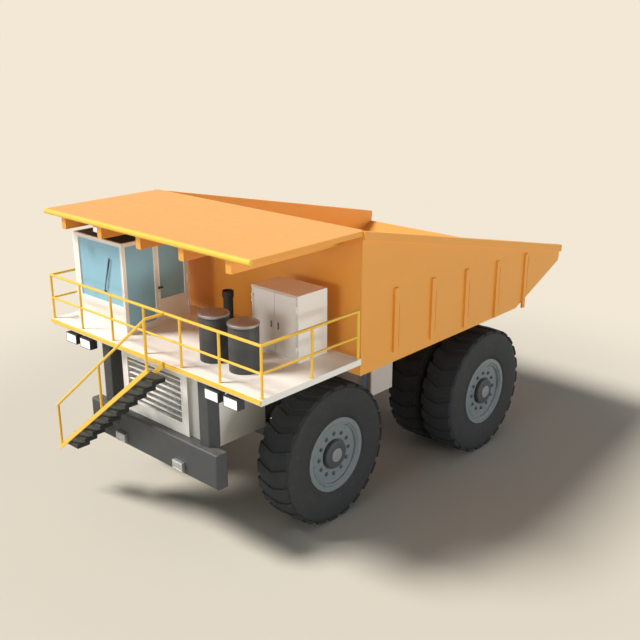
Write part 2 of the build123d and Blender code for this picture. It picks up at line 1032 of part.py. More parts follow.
def make_wiper():
    y = cab_front + (cab_wall - cab_glass) / 2
    x0, z0 = screen_point(wiper_low_shares)
    x1, z1 = screen_point(wiper_high_shares)
    arm_y = y - 3 * wiper_radius
    arm = bar((x0, arm_y, z0), (x1, arm_y, z1), wiper_radius)
    boss = bar((x0, y, z0), (x0, y - 4 * wiper_radius, z0), 2 * wiper_radius)
    return arm + boss


def make_roof_lamp():
    half = lamp_box_width / 2
    front = cab_front + cab_wall / 2
    box = block(
        lamp_box_x - half, lamp_box_x + half, front, front + lamp_box_depth,
        lamp_box_bottom, lamp_box_top,
    )
    foot = block(
        lamp_box_x - lamp_box_foot, lamp_box_x + lamp_box_foot, front + lamp_box_foot,
        front + 2 * lamp_box_foot, cab_top, lamp_box_bottom + seat_overlap,
    )
    return box + foot


# Hinges: a pin held by two fixed knuckles, and a tube on the door around it
def hinge_pair(z):
    # Laid with its pin along Z through the origin, its leaves flat on the plane y = knuckle
    # radius, the fixed leaves towards -X and the door's leaf towards +X.
    low = z - hinge_height / 2
    high = z + hinge_height / 2
    back = hinge_knuckle
    front = back - hinge_leaf_thickness
    fixed = bar((0, 0, low - hinge_cap), (0, 0, high + hinge_cap), hinge_pin)
    for z0, z1 in ((low - hinge_cap, low), (high, high + hinge_cap)):
        knuckle = bar((0, 0, z0), (0, 0, z1), hinge_knuckle)
        leaf = block(-hinge_leaf, 0, front, back, z0, z1)
        fixed = fixed + [knuckle, leaf]
    low = low + running_fit
    high = high - running_fit
    tube = bar((0, 0, low), (0, 0, high), hinge_knuckle)
    leaf = block(0, hinge_leaf, front, back, low, high)
    moving = tube + leaf - bar((0, 0, low), (0, 0, high), hinge_pin + running_fit)
    return fixed, moving


def hinge_set(place, bottom, top, shares, other_hand):
    fixed = []
    moving = []
    for share in shares:
        pair = hinge_pair(bottom + share * (top - bottom))
        if other_hand:
            pair = [mirror(piece, Plane.YZ) for piece in pair]
        fixed.append(place * pair[0])
        moving.append(place * pair[1])
    return fixed, moving


def cab_hinges():
    place = Pos(cab_right + hinge_knuckle, door_rear, 0) * Rot(0, 0, 90)
    return hinge_set(place, door_bottom, window_top, cab_hinge_shares, True)


def cabinet_hinges(inner):
    edge = cabinet_left + cabinet_wall if inner else cabinet_right - cabinet_wall
    place = Pos(edge, cabinet_front - hinge_knuckle, 0)
    return hinge_set(place, deck_top, cabinet_top, cabinet_hinge_shares, not inner)


def save_cab():
    save("cab_ends", *make_cab_ends())
    save("cab_sides", *make_cab_sides())
    save("cab_floor", make_cab_floor())
    save("cab_roof", make_cab_roof())
    save("cab_windows", *make_cab_glass())
    save("cab_door", make_cab_door())
    save("cab_door_glass", make_cab_door_glass())
    save("cab_interior", make_seat(), make_dash())
    save("wiper", make_wiper())


# Cabinet, cans and pipe
def make_cabinet():
    shell = block(cabinet_left, cabinet_right, cabinet_front, cabinet_rear, deck_top, cabinet_top)
    hollow = block(
        cabinet_left + cabinet_wall, cabinet_right - cabinet_wall, cabinet_front - cabinet_wall,
        cabinet_rear - cabinet_wall, deck_top + cabinet_sill, cabinet_top - cabinet_wall,
    )
    middle = (deck_top + cabinet_top) / 2
    shelf = block(
        cabinet_left + cabinet_wall / 2, cabinet_right - cabinet_wall / 2,
        cabinet_front + 3 * cabinet_wall, cabinet_rear - cabinet_wall / 2,
        middle, middle + cabinet_wall,
    )
    hinges = cabinet_hinges(True)[0] + cabinet_hinges(False)[0]
    return shell - hollow + shelf + hinges


def make_cabinet_door(x0, x1, grip_x, inner):
    z0 = deck_top + cabinet_sill + door_gap
    z1 = cabinet_top - cabinet_wall - door_gap
    leaf = block(x0, x1, cabinet_front, cabinet_front + cabinet_wall, z0, z1)
    grip = block(
        grip_x - cabinet_grip, grip_x + cabinet_grip, cabinet_front - cabinet_grip, cabinet_front,
        deck_top + cabinet_grip_low, deck_top + cabinet_grip_low + cabinet_grip_height,
    )
    return leaf + grip + cabinet_hinges(inner)[1]


def make_can(x, y):
    return Pos(x, y, 0) * bar((0, 0, deck_top), (0, 0, can_top - can_lid_height), can_radius)


def make_can_lid(x, y):
    z = can_top - can_lid_height
    lid = bar((x, y, z), (x, y, can_top), can_lid_radius)
    return chamfer(lid.edges().group_by(Axis.Z)[-1], can_lid_crown)


def make_pipe():
    cap_low = (pipe_x, pipe_y, pipe_top - pipe_cap_height)
    cap = bar(cap_low, (pipe_x, pipe_y, pipe_top), pipe_cap_radius)
    return bar((pipe_x, pipe_y, deck_top), cap_low, pipe_radius) + cap


def save_deck_gear():
    side_gap = cabinet_wall + door_gap
    left_door = make_cabinet_door(
        cabinet_left + side_gap, cabinet_split - door_gap / 2, cabinet_split - 2 * side_gap,
        True,
    )
    right_door = make_cabinet_door(
        cabinet_split + door_gap / 2, cabinet_right - side_gap, cabinet_split + 2 * side_gap,
        False,
    )
    save("cabinet", make_cabinet())
    save("cabinet_door_inner", left_door)
    save("cabinet_door_outer", right_door)
    save("filter_cans", *[make_can(x, can_y) for x in (can_inner_x, can_outer_x)])
    save("filter_lids", *[make_can_lid(x, can_y) for x in (can_inner_x, can_outer_x)])
    save("stack_pipe", make_pipe())


# Lamps under the deck, on the bumper and on the cab
def make_headlamp(x):
    half = headlamp_width / 2
    back = headlamp_front + headlamp_depth
    box = block(
        x - half, x + half, headlamp_front, back, headlamp_top - headlamp_height, headlamp_top,
    )
    pocket = block(
        x - half + headlamp_rim, x + half - headlamp_rim, headlamp_front - headlamp_rim,
        headlamp_front + headlamp_rim, headlamp_top - headlamp_height + headlamp_rim,
        headlamp_top - headlamp_rim,
    )
    bracket = block(
        x - headlamp_bracket, x + headlamp_bracket, back - headlamp_bracket, back,
        headlamp_top - seat_overlap, deck_top - deck_thickness,
    )
    return box - pocket + bracket


def make_headlamp_lens(x):
    half = headlamp_width / 2 - headlamp_rim
    return block(
        x - half, x + half, headlamp_front, headlamp_front + headlamp_rim,
        headlamp_top - headlamp_height + headlamp_rim, headlamp_top - headlamp_rim,
    )


def make_fog_lamp(x):
    half = fog_lamp_width / 2
    z = bumper_bottom + fog_lamp_lift - fog_lamp_height / 2
    return block(
        x - half, x + half, bumper_front - fog_lamp_depth, bumper_front, z, z + fog_lamp_height,
    )


def save_lamps():
    boxes = [make_roof_lamp()]
    lenses = []
    for x in (headlamp_inner_x, headlamp_inner_x + headlamp_pitch):
        boxes.extend([make_headlamp(x), make_headlamp(-x)])
        lenses.extend([make_headlamp_lens(x), make_headlamp_lens(-x)])
    front = cab_front + cab_wall / 2
    half = lamp_box_width / 2 - headlamp_rim
    lenses.append(block(
        lamp_box_x - half, lamp_box_x + half, front - headlamp_rim, front,
        lamp_box_bottom + headlamp_rim, lamp_box_top - headlamp_rim,
    ))
    save("lamp_boxes", *boxes)
    save("lamp_lenses", *lenses)
    save("bumper_lamps", make_fog_lamp(fog_lamp_x), make_fog_lamp(-fog_lamp_x))


# Side tanks behind the front wheels
def make_tank():
    return rounded_block(
        tank_inner, tank_outer, tank_front, tank_rear, tank_bottom, tank_top, tank_round, Axis.Z,
    )


def make_gauge():
    return block(
        gauge_x - gauge_width / 2, gauge_x + gauge_width / 2, tank_front - gauge_stand,
        tank_front, gauge_bottom, gauge_top,
    )


def save_tanks():
    tank = make_tank()
    save("side_tanks", *both_sides(tank))
    save("tank_gauge", make_gauge())


# Front axle beam, struts and knuckles
def make_front_axle():
    z = axle_height
    outline = [
        (-kingpin_x, z + axle_end_half), (-axle_mid_x, z + axle_mid_top),
        (axle_mid_x, z + axle_mid_top), (kingpin_x, z + axle_end_half),
        (kingpin_x, z - axle_end_half), (axle_mid_x, z - axle_mid_bottom),
        (-axle_mid_x, z - axle_mid_bottom), (-kingpin_x, z - axle_end_half),
    ]
    beam = front_plate(outline, -axle_half_depth, axle_half_depth)
    bosses = []
    for x in (-kingpin_x, kingpin_x):
        boss = (x, 0, z - axle_boss_half)
        bosses.append(bar(boss, (x, 0, z + axle_boss_half), axle_boss_radius))
    return beam + bosses


def make_front_strut():
    seat = axle_height + axle_mid_top
    rod = bar((strut_x, 0, seat), (strut_x, 0, strut_split + seat_overlap), strut_rod_radius)
    tube = bar((strut_x, 0, strut_split), (strut_x, 0, strut_top), strut_radius)
    return rod + tube


def make_knuckle():
    z = axle_height
    x = kingpin_x
    gap = axle_boss_half + knuckle_ear_gap
    plate_x = x + knuckle_plate_inner
    outer = plate_x + knuckle_plate_thickness
    body = block(
        plate_x, outer, -knuckle_plate_half, knuckle_plate_half,
        z - gap - knuckle_ear_height, z + gap + knuckle_ear_height,
    )
    half = knuckle_ear_width / 2
    parts = []
    for low in (z + gap, z - gap - knuckle_ear_height):
        ear = bar((x, 0, low), (x, 0, low + knuckle_ear_height), half)
        arm = block(x, plate_x + seat_overlap, -half, half, low, low + knuckle_ear_height)
        parts.extend([ear, arm])
    spindle = disc_x(outer - seat_overlap, x + spindle_reach, 0, z, spindle_radius)
    return body + parts + [spindle]


# Rear axle with bowl, tubes, spindles and a trailing arm
def make_rear_axle():
    y = wheelbase
    z = axle_height
    bowl = disc_x(-axle_bowl_half, axle_bowl_half, y, z, axle_bowl_radius)
    tube = disc_x(-axle_tube_half, axle_tube_half, y, z, axle_tube_radius)
    spindle = disc_x(-rear_spindle_end, rear_spindle_end, y, z, rear_spindle_radius)
    tip = rear_outer_tyre_x + spindle_reach - 2 * turn_gap
    nose = disc_x(-tip, tip, y, z, spindle_radius)
    arm = make_face(Polyline(
        (-arm_half_front, arm_front, z), (arm_half_front, arm_front, z),
        (arm_half_rear, y, z), (-arm_half_rear, y, z), close=True,
    ))
    arm = Pos(0, 0, -arm_height / 2) * extrude(arm, arm_height, dir=(0, 0, 1))
    brackets = []
    for x in (-rear_strut_x, rear_strut_x):
        brackets.append(block(
            x - rear_bracket_width / 2, x + rear_bracket_width / 2, y,
            rear_strut_low[0] + rear_bracket_width / 2, z - rear_bracket_width / 2,
            rear_strut_low[1],
        ))
    return bowl + [tube, spindle, nose, arm] + brackets


def make_rear_strut(x):
    # Both ends are cut level, so that the strut stands on its bracket and under its arm.
    low = Vector(x, *rear_strut_low)
    high = Vector(x, *rear_strut_high)
    lean = (high - low).normalized() * rear_strut_radius
    middle = low + (high - low) * rear_strut_split_share
    rod = bar(low - lean, middle, rear_strut_rod_radius)
    strut = rod + bar(middle, high + lean, rear_strut_radius)
    wide = 2 * rear_strut_radius
    keep = block(
        x - wide, x + wide, low.Y - wide, high.Y + wide, rear_strut_low[1], rear_strut_high[1],
    )
    return strut & keep


def save_axles():
    save("front_axle", make_front_axle())
    save("rear_axle", make_rear_axle())
    knuckles = both_sides(make_knuckle())
    save("knuckle_left", knuckles[0])
    save("knuckle_right", knuckles[1])
    struts = both_sides(make_front_strut()) + both_sides(make_rear_strut(rear_strut_x))
    save("struts", *struts)


# Dump body: floor, front wall, sides and canopy
def make_body_side():
    outline = [
        (body_front, body_bottom), (body_break, body_bottom), (body_tail, body_tail_height),
        (body_rail_end, body_rail_end_height), (body_front, body_top),
    ]
    wall = side_plate(outline, body_half - side_thickness, body_half)
    rail = side_plate(
        [
            (body_front, body_top - top_rail_height),
            (body_rail_end, body_rail_end_height - top_rail_height),
            (body_rail_end, body_rail_end_height),
            (body_front, body_top),
        ],
        body_half - side_thickness, body_half + top_rail_proud,
    )
    return wall + [rail] + make_side_ribs()


def make_side_ribs():
    # Like ribs, each a little lower than the one in front of it.
    ribs = []
    for i in range(side_rib_count):
        y = side_rib_first + i * side_rib_pitch
        low = body_bottom + side_rib_lift - i * side_rib_drop
        ribs.append(block(
            body_half - seat_overlap, body_half + side_rib_proud,
            y - side_rib_width / 2, y + side_rib_width / 2, low, low + side_rib_height,
        ))
    return ribs


def make_floor():
    inner = body_half - side_thickness
    front = body_front + front_wall_thickness
    slope = (body_tail_height - body_bottom) / (body_tail - body_break)
    rise = floor_thickness * math.sqrt(1 + slope**2)
    return side_plate(
        [
            (front, body_bottom), (body_break, body_bottom), (body_tail, body_tail_height),
            (body_tail, body_tail_height + rise), (body_break, body_bottom + floor_thickness),
            (front, body_bottom + floor_thickness),
        ],
        -inner, inner,
    )


def make_floor_frame():
    # Two beams under the floor, tied by a cross rib in line with each side rib but the last.
    ribs = []
    for i in range(side_rib_count - 1):
        y = side_rib_first + i * side_rib_pitch
        ribs.append(block(
            -floor_rib_half, floor_rib_half, y - floor_rib_width / 2, y + floor_rib_width / 2,
            body_bottom - floor_rib_height, body_bottom,
        ))
    return ribs[0] + ribs[1:] + both_sides(make_body_beam())


def make_body_beam():
    nose = hinge_nose_radius
    slope = (body_tail_height - body_bottom) / (body_tail - body_break)
    rear = hinge_y + 3 * nose
    rear_top = body_bottom + (rear - body_break) * slope
    outline = [
        (beam_front, body_bottom), (beam_front, body_bottom - floor_rib_height),
        (beam_front + 4 * nose, beam_bottom), (hinge_y, beam_bottom),
        (hinge_y, hinge_z), (hinge_y + nose, hinge_z), (rear, rear_top),
        (body_break, body_bottom),
    ]
    x0 = rail_x - beam_width / 2
    beam = side_plate(outline, x0, x0 + beam_width)
    round_nose = disc_x(x0, x0 + beam_width, hinge_y, hinge_z, nose)
    bore = disc_x(x0 - nose, x0 + beam_width + nose, hinge_y, hinge_z, hinge_bore_radius)
    return beam + round_nose - bore


def make_hoist_lugs():
    # Two plates beside each rod's eye, with the pin's head on the outside of each.
    y, z = hoist_high
    inner = eye_width / 2 + lug_plate_gap
    outer = inner + lug_plate_thickness
    lugs = []
    for x in (-hoist_x, hoist_x):
        for sign in (-1, 1):
            near = x + sign * inner
            far = x + sign * outer
            head = far + sign * pin_head
            ear = disc_x(min(near, far), max(near, far), y, z, lug_plate_radius)
            plate = block(
                near, far, y - lug_plate_radius, y + lug_plate_radius, z, body_bottom,
            )
            pin = disc_x(min(near, head), max(near, head), y, z, hoist_pin_radius)
            lugs.append(ear + [plate, pin])
    return lugs


def make_front_wall():
    inner = body_half - side_thickness
    return block(
        -inner, inner, body_front, body_front + front_wall_thickness,
        body_bottom, canopy_bottom,
    )


def make_canopy():
    inner = body_half - side_thickness
    slab = block(-canopy_half, canopy_half, canopy_front, body_front, canopy_bottom, body_top)
    lap = block(
        -inner, inner, body_front - side_thickness, body_front + front_wall_thickness,
        canopy_bottom, body_top,
    )
    ribs = []
    for i in range(-canopy_rib_pairs, canopy_rib_pairs + 1):
        x = i * canopy_rib_pitch
        ribs.append(block(
            x - canopy_rib_width / 2, x + canopy_rib_width / 2, canopy_front, body_front,
            canopy_rib_bottom, canopy_bottom + seat_overlap,
        ))
    return slab + [lap] + ribs


def make_canopy_bar():
    y = canopy_front
    z = (canopy_bottom + body_top) / 2
    rod = disc_x(-canopy_half, canopy_half, y - canopy_bar_radius / 2, z, canopy_bar_radius)
    return rod - block(
        -2 * canopy_half, 2 * canopy_half, y, body_front, canopy_rib_bottom, body_top + z,
    )


def save_body():
    save("body_floor", make_floor())
    save("body_frame", make_floor_frame(), *make_hoist_lugs())
    save("body_sides", *both_sides(make_body_side()))
    save("body_front_wall", make_front_wall())
    save("body_canopy", make_canopy())
    save("canopy_bar", make_canopy_bar())


# Hoist cylinders, drawn along Z and then laid from the frame to the body
def hoist_plane(x):
    low = Vector(x, *hoist_low)
    high = Vector(x, *hoist_high)
    return Plane(origin=low, x_dir=(1, 0, 0), z_dir=high - low)


def make_barrel():
    eye = disc_x(-eye_width / 2, eye_width / 2, 0, 0, eye_radius + hoist_tube_radius / 2)
    body = Pos(0, 0, barrel_length / 2) * Cylinder(barrel_radius, barrel_length)
    pin = disc_x(-barrel_radius * 2, barrel_radius * 2, 0, 0, hoist_tube_radius + running_fit)
    depth = barrel_length - barrel_floor
    bore = Pos(0, 0, barrel_floor + depth / 2) * Cylinder(barrel_bore, depth)
    foot = block(
        -barrel_radius * 2, barrel_radius * 2, -barrel_radius * 2, barrel_radius * 2,
        -barrel_radius * 2, 0,
    )
    return eye + (body - foot) - pin - bore


def make_rod():
    length = (Vector(*hoist_high) - Vector(*hoist_low)).length
    eye = Pos(0, 0, length) * disc_x(-eye_width / 2, eye_width / 2, 0, 0, eye_radius)
    shaft_top = length - lug_plate_radius - lug_reach
    shaft_length = rod_length - lug_plate_radius - lug_reach
    rod = Pos(0, 0, shaft_top - shaft_length / 2) * Cylinder(rod_radius, shaft_length)
    neck = block(
        -eye_width / 2, eye_width / 2, -eye_width / 2, eye_width / 2,
        shaft_top - seat_overlap, length,
    )
    return rod + neck + eye


def save_hoist():
    barrel = make_barrel()
    rod = make_rod()
    for side, x in (("left", hoist_x), ("right", -hoist_x)):
        save("hoist_barrel_" + side, hoist_plane(x) * barrel)
        save("hoist_rod_" + side, hoist_plane(x) * rod)


save_front()
save_deck()
save_cab()
save_deck_gear()
save_lamps()
save_tanks()
save_axles()
save_body()
save_hoist()
save_wheels()
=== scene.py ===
"""Looks of the mining dump truck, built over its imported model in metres."""

import json
import math

import bmesh
import bpy
from bpy.props import FloatProperty, FloatVectorProperty, IntProperty, PointerProperty
from mathutils import Matrix, Vector

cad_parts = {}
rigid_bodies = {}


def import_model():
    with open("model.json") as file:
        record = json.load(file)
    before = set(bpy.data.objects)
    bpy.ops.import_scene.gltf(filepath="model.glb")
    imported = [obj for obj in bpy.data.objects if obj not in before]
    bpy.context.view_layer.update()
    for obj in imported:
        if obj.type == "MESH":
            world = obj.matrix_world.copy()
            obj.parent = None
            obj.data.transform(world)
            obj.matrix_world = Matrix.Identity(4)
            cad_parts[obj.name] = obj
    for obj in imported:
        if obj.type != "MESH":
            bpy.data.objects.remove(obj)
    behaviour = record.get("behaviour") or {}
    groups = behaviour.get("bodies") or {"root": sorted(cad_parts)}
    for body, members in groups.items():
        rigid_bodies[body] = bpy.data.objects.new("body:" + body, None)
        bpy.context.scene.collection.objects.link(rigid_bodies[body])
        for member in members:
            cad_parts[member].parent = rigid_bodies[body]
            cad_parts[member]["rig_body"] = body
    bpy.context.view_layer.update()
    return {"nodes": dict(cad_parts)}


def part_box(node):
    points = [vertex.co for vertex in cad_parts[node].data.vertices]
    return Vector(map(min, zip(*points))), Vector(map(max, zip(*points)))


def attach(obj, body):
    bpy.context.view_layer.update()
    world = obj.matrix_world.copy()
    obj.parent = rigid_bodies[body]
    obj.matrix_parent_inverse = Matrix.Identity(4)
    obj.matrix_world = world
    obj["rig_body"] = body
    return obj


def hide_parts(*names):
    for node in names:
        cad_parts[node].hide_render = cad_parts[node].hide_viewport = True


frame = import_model()

bl_info = {
    "name": "Mining Dump Truck",
    "version": (1, 0, 0),
    "blender": (4, 5, 0),
    "location": "View3D > Sidebar > Dump Truck",
    "description": "Tyres, paint, glass, lamps and fittings of a mining dump truck",
    "category": "Object",
}

# Measures in metres in the truck's frame: its front looks along -Y, its left side along +X
AXLE_Z = 1.725
FRONT_AXLE_Y = -2.685
REAR_AXLE_Y = 2.815
FRONT_TYRE_X = 2.455
REAR_OUTER_X = 2.975
REAR_INNER_X = 1.895
TYRE_RADIUS = 1.725
TREAD_EDGE = 1.61
LUG_HEIGHT = 0.045
LUG_ROOT = 0.045
CROWN_HALF = 0.452
TYRE_STEPS = 96
RIM_STEPS = 72
NUT_FACE = 0.361
NUT_CIRCLE = 0.51
NUT_COUNT = 12
NUT_HEIGHT = 0.030
DECK_TOP = 4.36
KICK_TRIM = 0.030
CABINET_SEAM = 2.205
DRIP_RAIL = ((1.494, -3.962, 5.828), (2.916, -3.930, 5.846))
GRIP_LOW = 5.000
GRIP_HIGH = 5.160
GRILLE_FRAME = ((-0.990, -5.597, 2.908), (0.990, -5.580, 4.032))
SLAT_HEIGHT = 0.060
SLAT_COUNT = 7
SLAT_SHARE = 0.42
FIN_PITCH = 0.045
FIN_MARGIN = 0.03
RAIL_X = 3.665
RAIL_BAYS = 6
RAIL_FRONT_Y = -5.745
RAIL_REAR_Y = -2.875
RAIL_POST_Y = -4.325
FOOT_X_LIMIT = 3.648
FOOT_RADIUS = 0.042
CAB_LEFT = -3.233
CAB_RIGHT = -1.268
CAB_FRONT = -5.322
WINDOW_TOP = 6.455
WINDOW_FOOT = 5.01
WINDSCREEN_X = (-3.005, -1.330)
FRONT_PANE_Y = (-5.242, -4.442)
FRONT_PANE_FOOT = 4.52
REAR_PANE_Y = (-4.323, -3.547)
DOOR_PANE_Y = (-4.315, -3.555)
DOOR_PANE_TOP = 6.385
WIPER_FOOT = (-1.930, 5.58)
WIPER_TIP = (-1.750, 6.10)
SEAT_FRONT_Y = -4.66
FOLD_COUNT = 5
FOLD_FOOT = 4.455
FOLD_PITCH = 0.076
FOLD_HEIGHT = 0.070
BEAD_PROUD = 0.008
BEAD_DEEP = 0.03
BODY_FRONT = -2.575
BODY_HALF = 3.5
BODY_BOTTOM = 3.83
RIB_COUNT = 5
RIB_FIRST = 1.290
RIB_PITCH = 1.434
RIB_EDGE = 0.0645
WELD_LOW = 0.312
WELD_HIGH = 1.362
WELD_RADIUS = 0.008
CAN_X = (1.354, 2.283)
CAN_Y = -4.92
STACK_PLACE = (0.21, -3.485, 0.0)
STRAP_X = (1.30, 1.80)
STRAP_WIDTH = 0.07
STRAP_Y = (-0.742, -0.733)
STRAP_Z = (2.46, 3.48)
BUMPER_LAMP_X = 1.05
LAMP_X = (-2.84, -2.26, 2.26, 2.84)

# The picture's camera: a 50 mm lens, level, looking down and turned by these degrees
CAMERA_PLACE = (15.156, -16.650, 11.351)
CAMERA_DOWN = 18.777
CAMERA_TURN = 42.447


# Colour and finishes

def linear(hex_colour):
    """Linear red, green, blue and alpha of an sRGB hex colour."""
    parts = [int(hex_colour[i:i + 2], 16) / 255 for i in (0, 2, 4)]
    lit = [p / 12.92 if p <= 0.04045 else ((p + 0.055) / 1.055) ** 2.4 for p in parts]
    return (lit[0], lit[1], lit[2], 1.0)


def scaled(colour, share):
    """The same colour made darker or lighter by a share."""
    return tuple(min(part * share, 1.0) for part in colour[:3]) + (1.0,)


def add_node(tree, kind, settings=None, feeds=None):
    """Add one node, set its sockets and properties, and link what feeds it."""
    node = tree.nodes.new(kind)
    for name, value in (settings or {}).items():
        if isinstance(name, str) and hasattr(node, name):
            setattr(node, name, value)
        else:
            node.inputs[name].default_value = value
    for name, source in (feeds or {}).items():
        tree.links.new(source, node.inputs[name])
    return node


def blank_material(name):
    """An empty node material and its tree."""
    material = bpy.data.materials.new(name)
    material.use_nodes = True
    material.node_tree.nodes.clear()
    return material, material.node_tree


def noise(tree, place, scale, detail, rough=0.5):
    """A cloudy pattern."""
    settings = {"Scale": scale, "Detail": detail, "Roughness": rough}
    return add_node(tree, "ShaderNodeTexNoise", settings, {"Vector": place}).outputs[0]


def maths(tree, operation, first, second):
    """Two values, joined by one operation."""
    return add_node(tree, "ShaderNodeMath", {"operation": operation}, {0: first, 1: second}).outputs[0]


def crossed(tree, ending, factor, first, second):
    """End a tree in two shaders, crossed over by a factor."""
    mixed = add_node(tree, "ShaderNodeMixShader", {}, {0: factor, 1: first, 2: second})
    add_node(tree, ending, {}, {"Surface": mixed.outputs[0]})


def ramp(tree, source, low, high, least, most):
    """Stretch one part of a pattern's range over another range."""
    settings = {1: low, 2: high, 3: least, 4: most}
    return add_node(tree, "ShaderNodeMapRange", settings, {0: source}).outputs[0]


def tinted(tree, factor, first, second):
    """Two fixed colours, mixed by a pattern."""
    settings = {"data_type": "RGBA", 6: first, 7: second}
    return add_node(tree, "ShaderNodeMix", settings, {0: factor}).outputs[2]


def covered(tree, factor, under, dust):
    """A colour that comes from the tree, with dust of one colour over it."""
    settings = {"data_type": "RGBA", 7: linear(dust)}
    return add_node(tree, "ShaderNodeMix", settings, {0: factor, 6: under}).outputs[2]


def relief(tree, height, strength, distance):
    """A pattern as fine bumps."""
    settings = {"Strength": strength, "Distance": distance}
    return add_node(tree, "ShaderNodeBump", settings, {"Height": height}).outputs[0]


def surface(tree, settings, feeds):
    """End a material in one Principled shader."""
    shader = add_node(tree, "ShaderNodeBsdfPrincipled", settings, feeds)
    add_node(tree, "ShaderNodeOutputMaterial", {}, {"Surface": shader.outputs[0]})


def centred(tree):
    """Object coordinates, centred on the truck."""
    place = add_node(tree, "ShaderNodeTexCoord").outputs["Object"]
    return add_node(tree, "ShaderNodeMapping", {"Location": (0.0, 0.0, -3.5)}, {"Vector": place}).outputs[0]


def patches(tree, place, size):
    """Soft patches of a size in metres."""
    return noise(tree, place, 1 / size, 5.0, 0.55)


def facing_up(tree):
    """How far a face looks up, from 0 to 1."""
    normal = add_node(tree, "ShaderNodeTexCoord").outputs["Normal"]
    return add_node(tree, "ShaderNodeSeparateXYZ", {}, {0: normal}).outputs[2]


def paint(name, colour, rough, dust=0.16, tone=0.94, peel=0.06, coat=0.0, grit=0.02):
    """Sprayed two-pack enamel on steel plate: even colour, faint orange peel, a little dust on top."""
    material, tree = blank_material(name)
    place = centred(tree)
    soft = patches(tree, place, 1.4)
    shade = tinted(tree, soft, scaled(colour, tone), scaled(colour, 1.03))
    # Dry dust lies on faces that look up, in patches about as wide as a hand is long, 200 mm
    fine = noise(tree, place, 5.0, 6.0)
    flat = ramp(tree, facing_up(tree), 0.5, 1.0, 0.0, dust)
    cover = maths(tree, "MULTIPLY", flat, fine)
    # Orange peel is 3 mm across, too fine to show, so it is drawn at 50 mm
    skin = noise(tree, place, 20.0, 3.0)
    surface(
        tree, {"Coat Weight": coat, "Coat Roughness": 0.15, "Specular IOR Level": 0.45},
        {
            "Base Color": covered(tree, cover, shade, "D8CCB8"),
            "Roughness": ramp(tree, fine, 0.3, 0.7, rough - 0.05, rough + 0.07),
            "Normal": relief(tree, skin, peel, grit),
        },
    )
    return material


def rubber(name, colour, rough, bumps, size):
    """Moulded carbon-black rubber: matt, faintly mottled, with dry dust rubbed into it."""
    material, tree = blank_material(name)
    place = centred(tree)
    soft = patches(tree, place, 0.5)
    shade = tinted(tree, soft, scaled(colour, 0.8), scaled(colour, 1.25))
    fine = noise(tree, place, 1 / size, 6.0)
    worn = ramp(tree, fine, 0.55, 0.8, 0.0, 0.25)
    surface(
        tree, {"Roughness": rough, "Specular IOR Level": 0.3},
        {
            "Base Color": covered(tree, worn, shade, "5E5850"),
            "Normal": relief(tree, fine, bumps, 0.01),
        },
    )
    return material


def metal(name, colour, low, high, grain):
    """Bare metal with a directional grain, drawn coarser than the 0.2 mm marks of the real one."""
    material, tree = blank_material(name)
    place = centred(tree)
    soft = patches(tree, place, 0.3)
    marks = add_node(tree, "ShaderNodeMapping", {"Scale": grain}, {"Vector": place})
    fine = noise(tree, marks.outputs[0], 30.0, 4.0)
    surface(
        tree, {"Metallic": 1.0},
        {
            "Base Color": tinted(tree, soft, scaled(colour, 0.86), colour),
            "Roughness": ramp(tree, fine, 0.3, 0.7, low, high),
            "Normal": relief(tree, fine, 0.12, 0.004),
        },
    )
    return material


def glass(name, colour):
    """Laminated safety glass with a pale blue film, which lets through a tenth of the light."""
    material, tree = blank_material(name)
    soft = patches(tree, centred(tree), 0.8)
    surface(
        tree, {"IOR": 1.52, "Transmission Weight": 0.1},
        {
            "Base Color": tinted(tree, soft, scaled(colour, 0.98), colour),
            "Roughness": ramp(tree, soft, 0.3, 0.7, 0.28, 0.32),
        },
    )
    return material


def lens(name, colour, glow):
    """Moulded polycarbonate lens: fluted across every 30 mm, bright from the reflector behind it. The same
    glow given to the tank's acrylic sight strip is painted light, as that strip is no lamp.
    """
    material, tree = blank_material(name)
    place = centred(tree)
    soft = patches(tree, place, 0.2)
    flutes = add_node(
        tree, "ShaderNodeTexWave", {"bands_direction": "X", "Scale": 10.5, "Distortion": 0.0},
        {"Vector": place},
    ).outputs[1]
    shade = tinted(tree, flutes, scaled(colour, 0.93), colour)
    surface(
        tree, {"IOR": 1.58, "Coat Weight": 0.6, "Emission Strength": glow},
        {
            "Base Color": shade, "Emission Color": shade,
            "Roughness": ramp(tree, soft, 0.3, 0.7, 0.08, 0.2),
            "Normal": relief(tree, flutes, 0.3, 0.006),
        },
    )
    return material


def plastic(name, colour, rough, grain):
    """Moulded plastic or woven cover with a fine grain, drawn at the given size in metres."""
    material, tree = blank_material(name)
    place = centred(tree)
    soft = patches(tree, place, 0.4)
    fine = add_node(tree, "ShaderNodeTexVoronoi", {"Scale": 1 / grain}, {"Vector": place}).outputs[0]
    surface(
        tree, {},
        {
            "Base Color": tinted(tree, soft, scaled(colour, 0.85), scaled(colour, 1.1)),
            "Roughness": ramp(tree, fine, 0.0, 0.8, rough - 0.06, rough + 0.06),
            "Normal": relief(tree, fine, 0.25, 0.004),
        },
    )
    return material


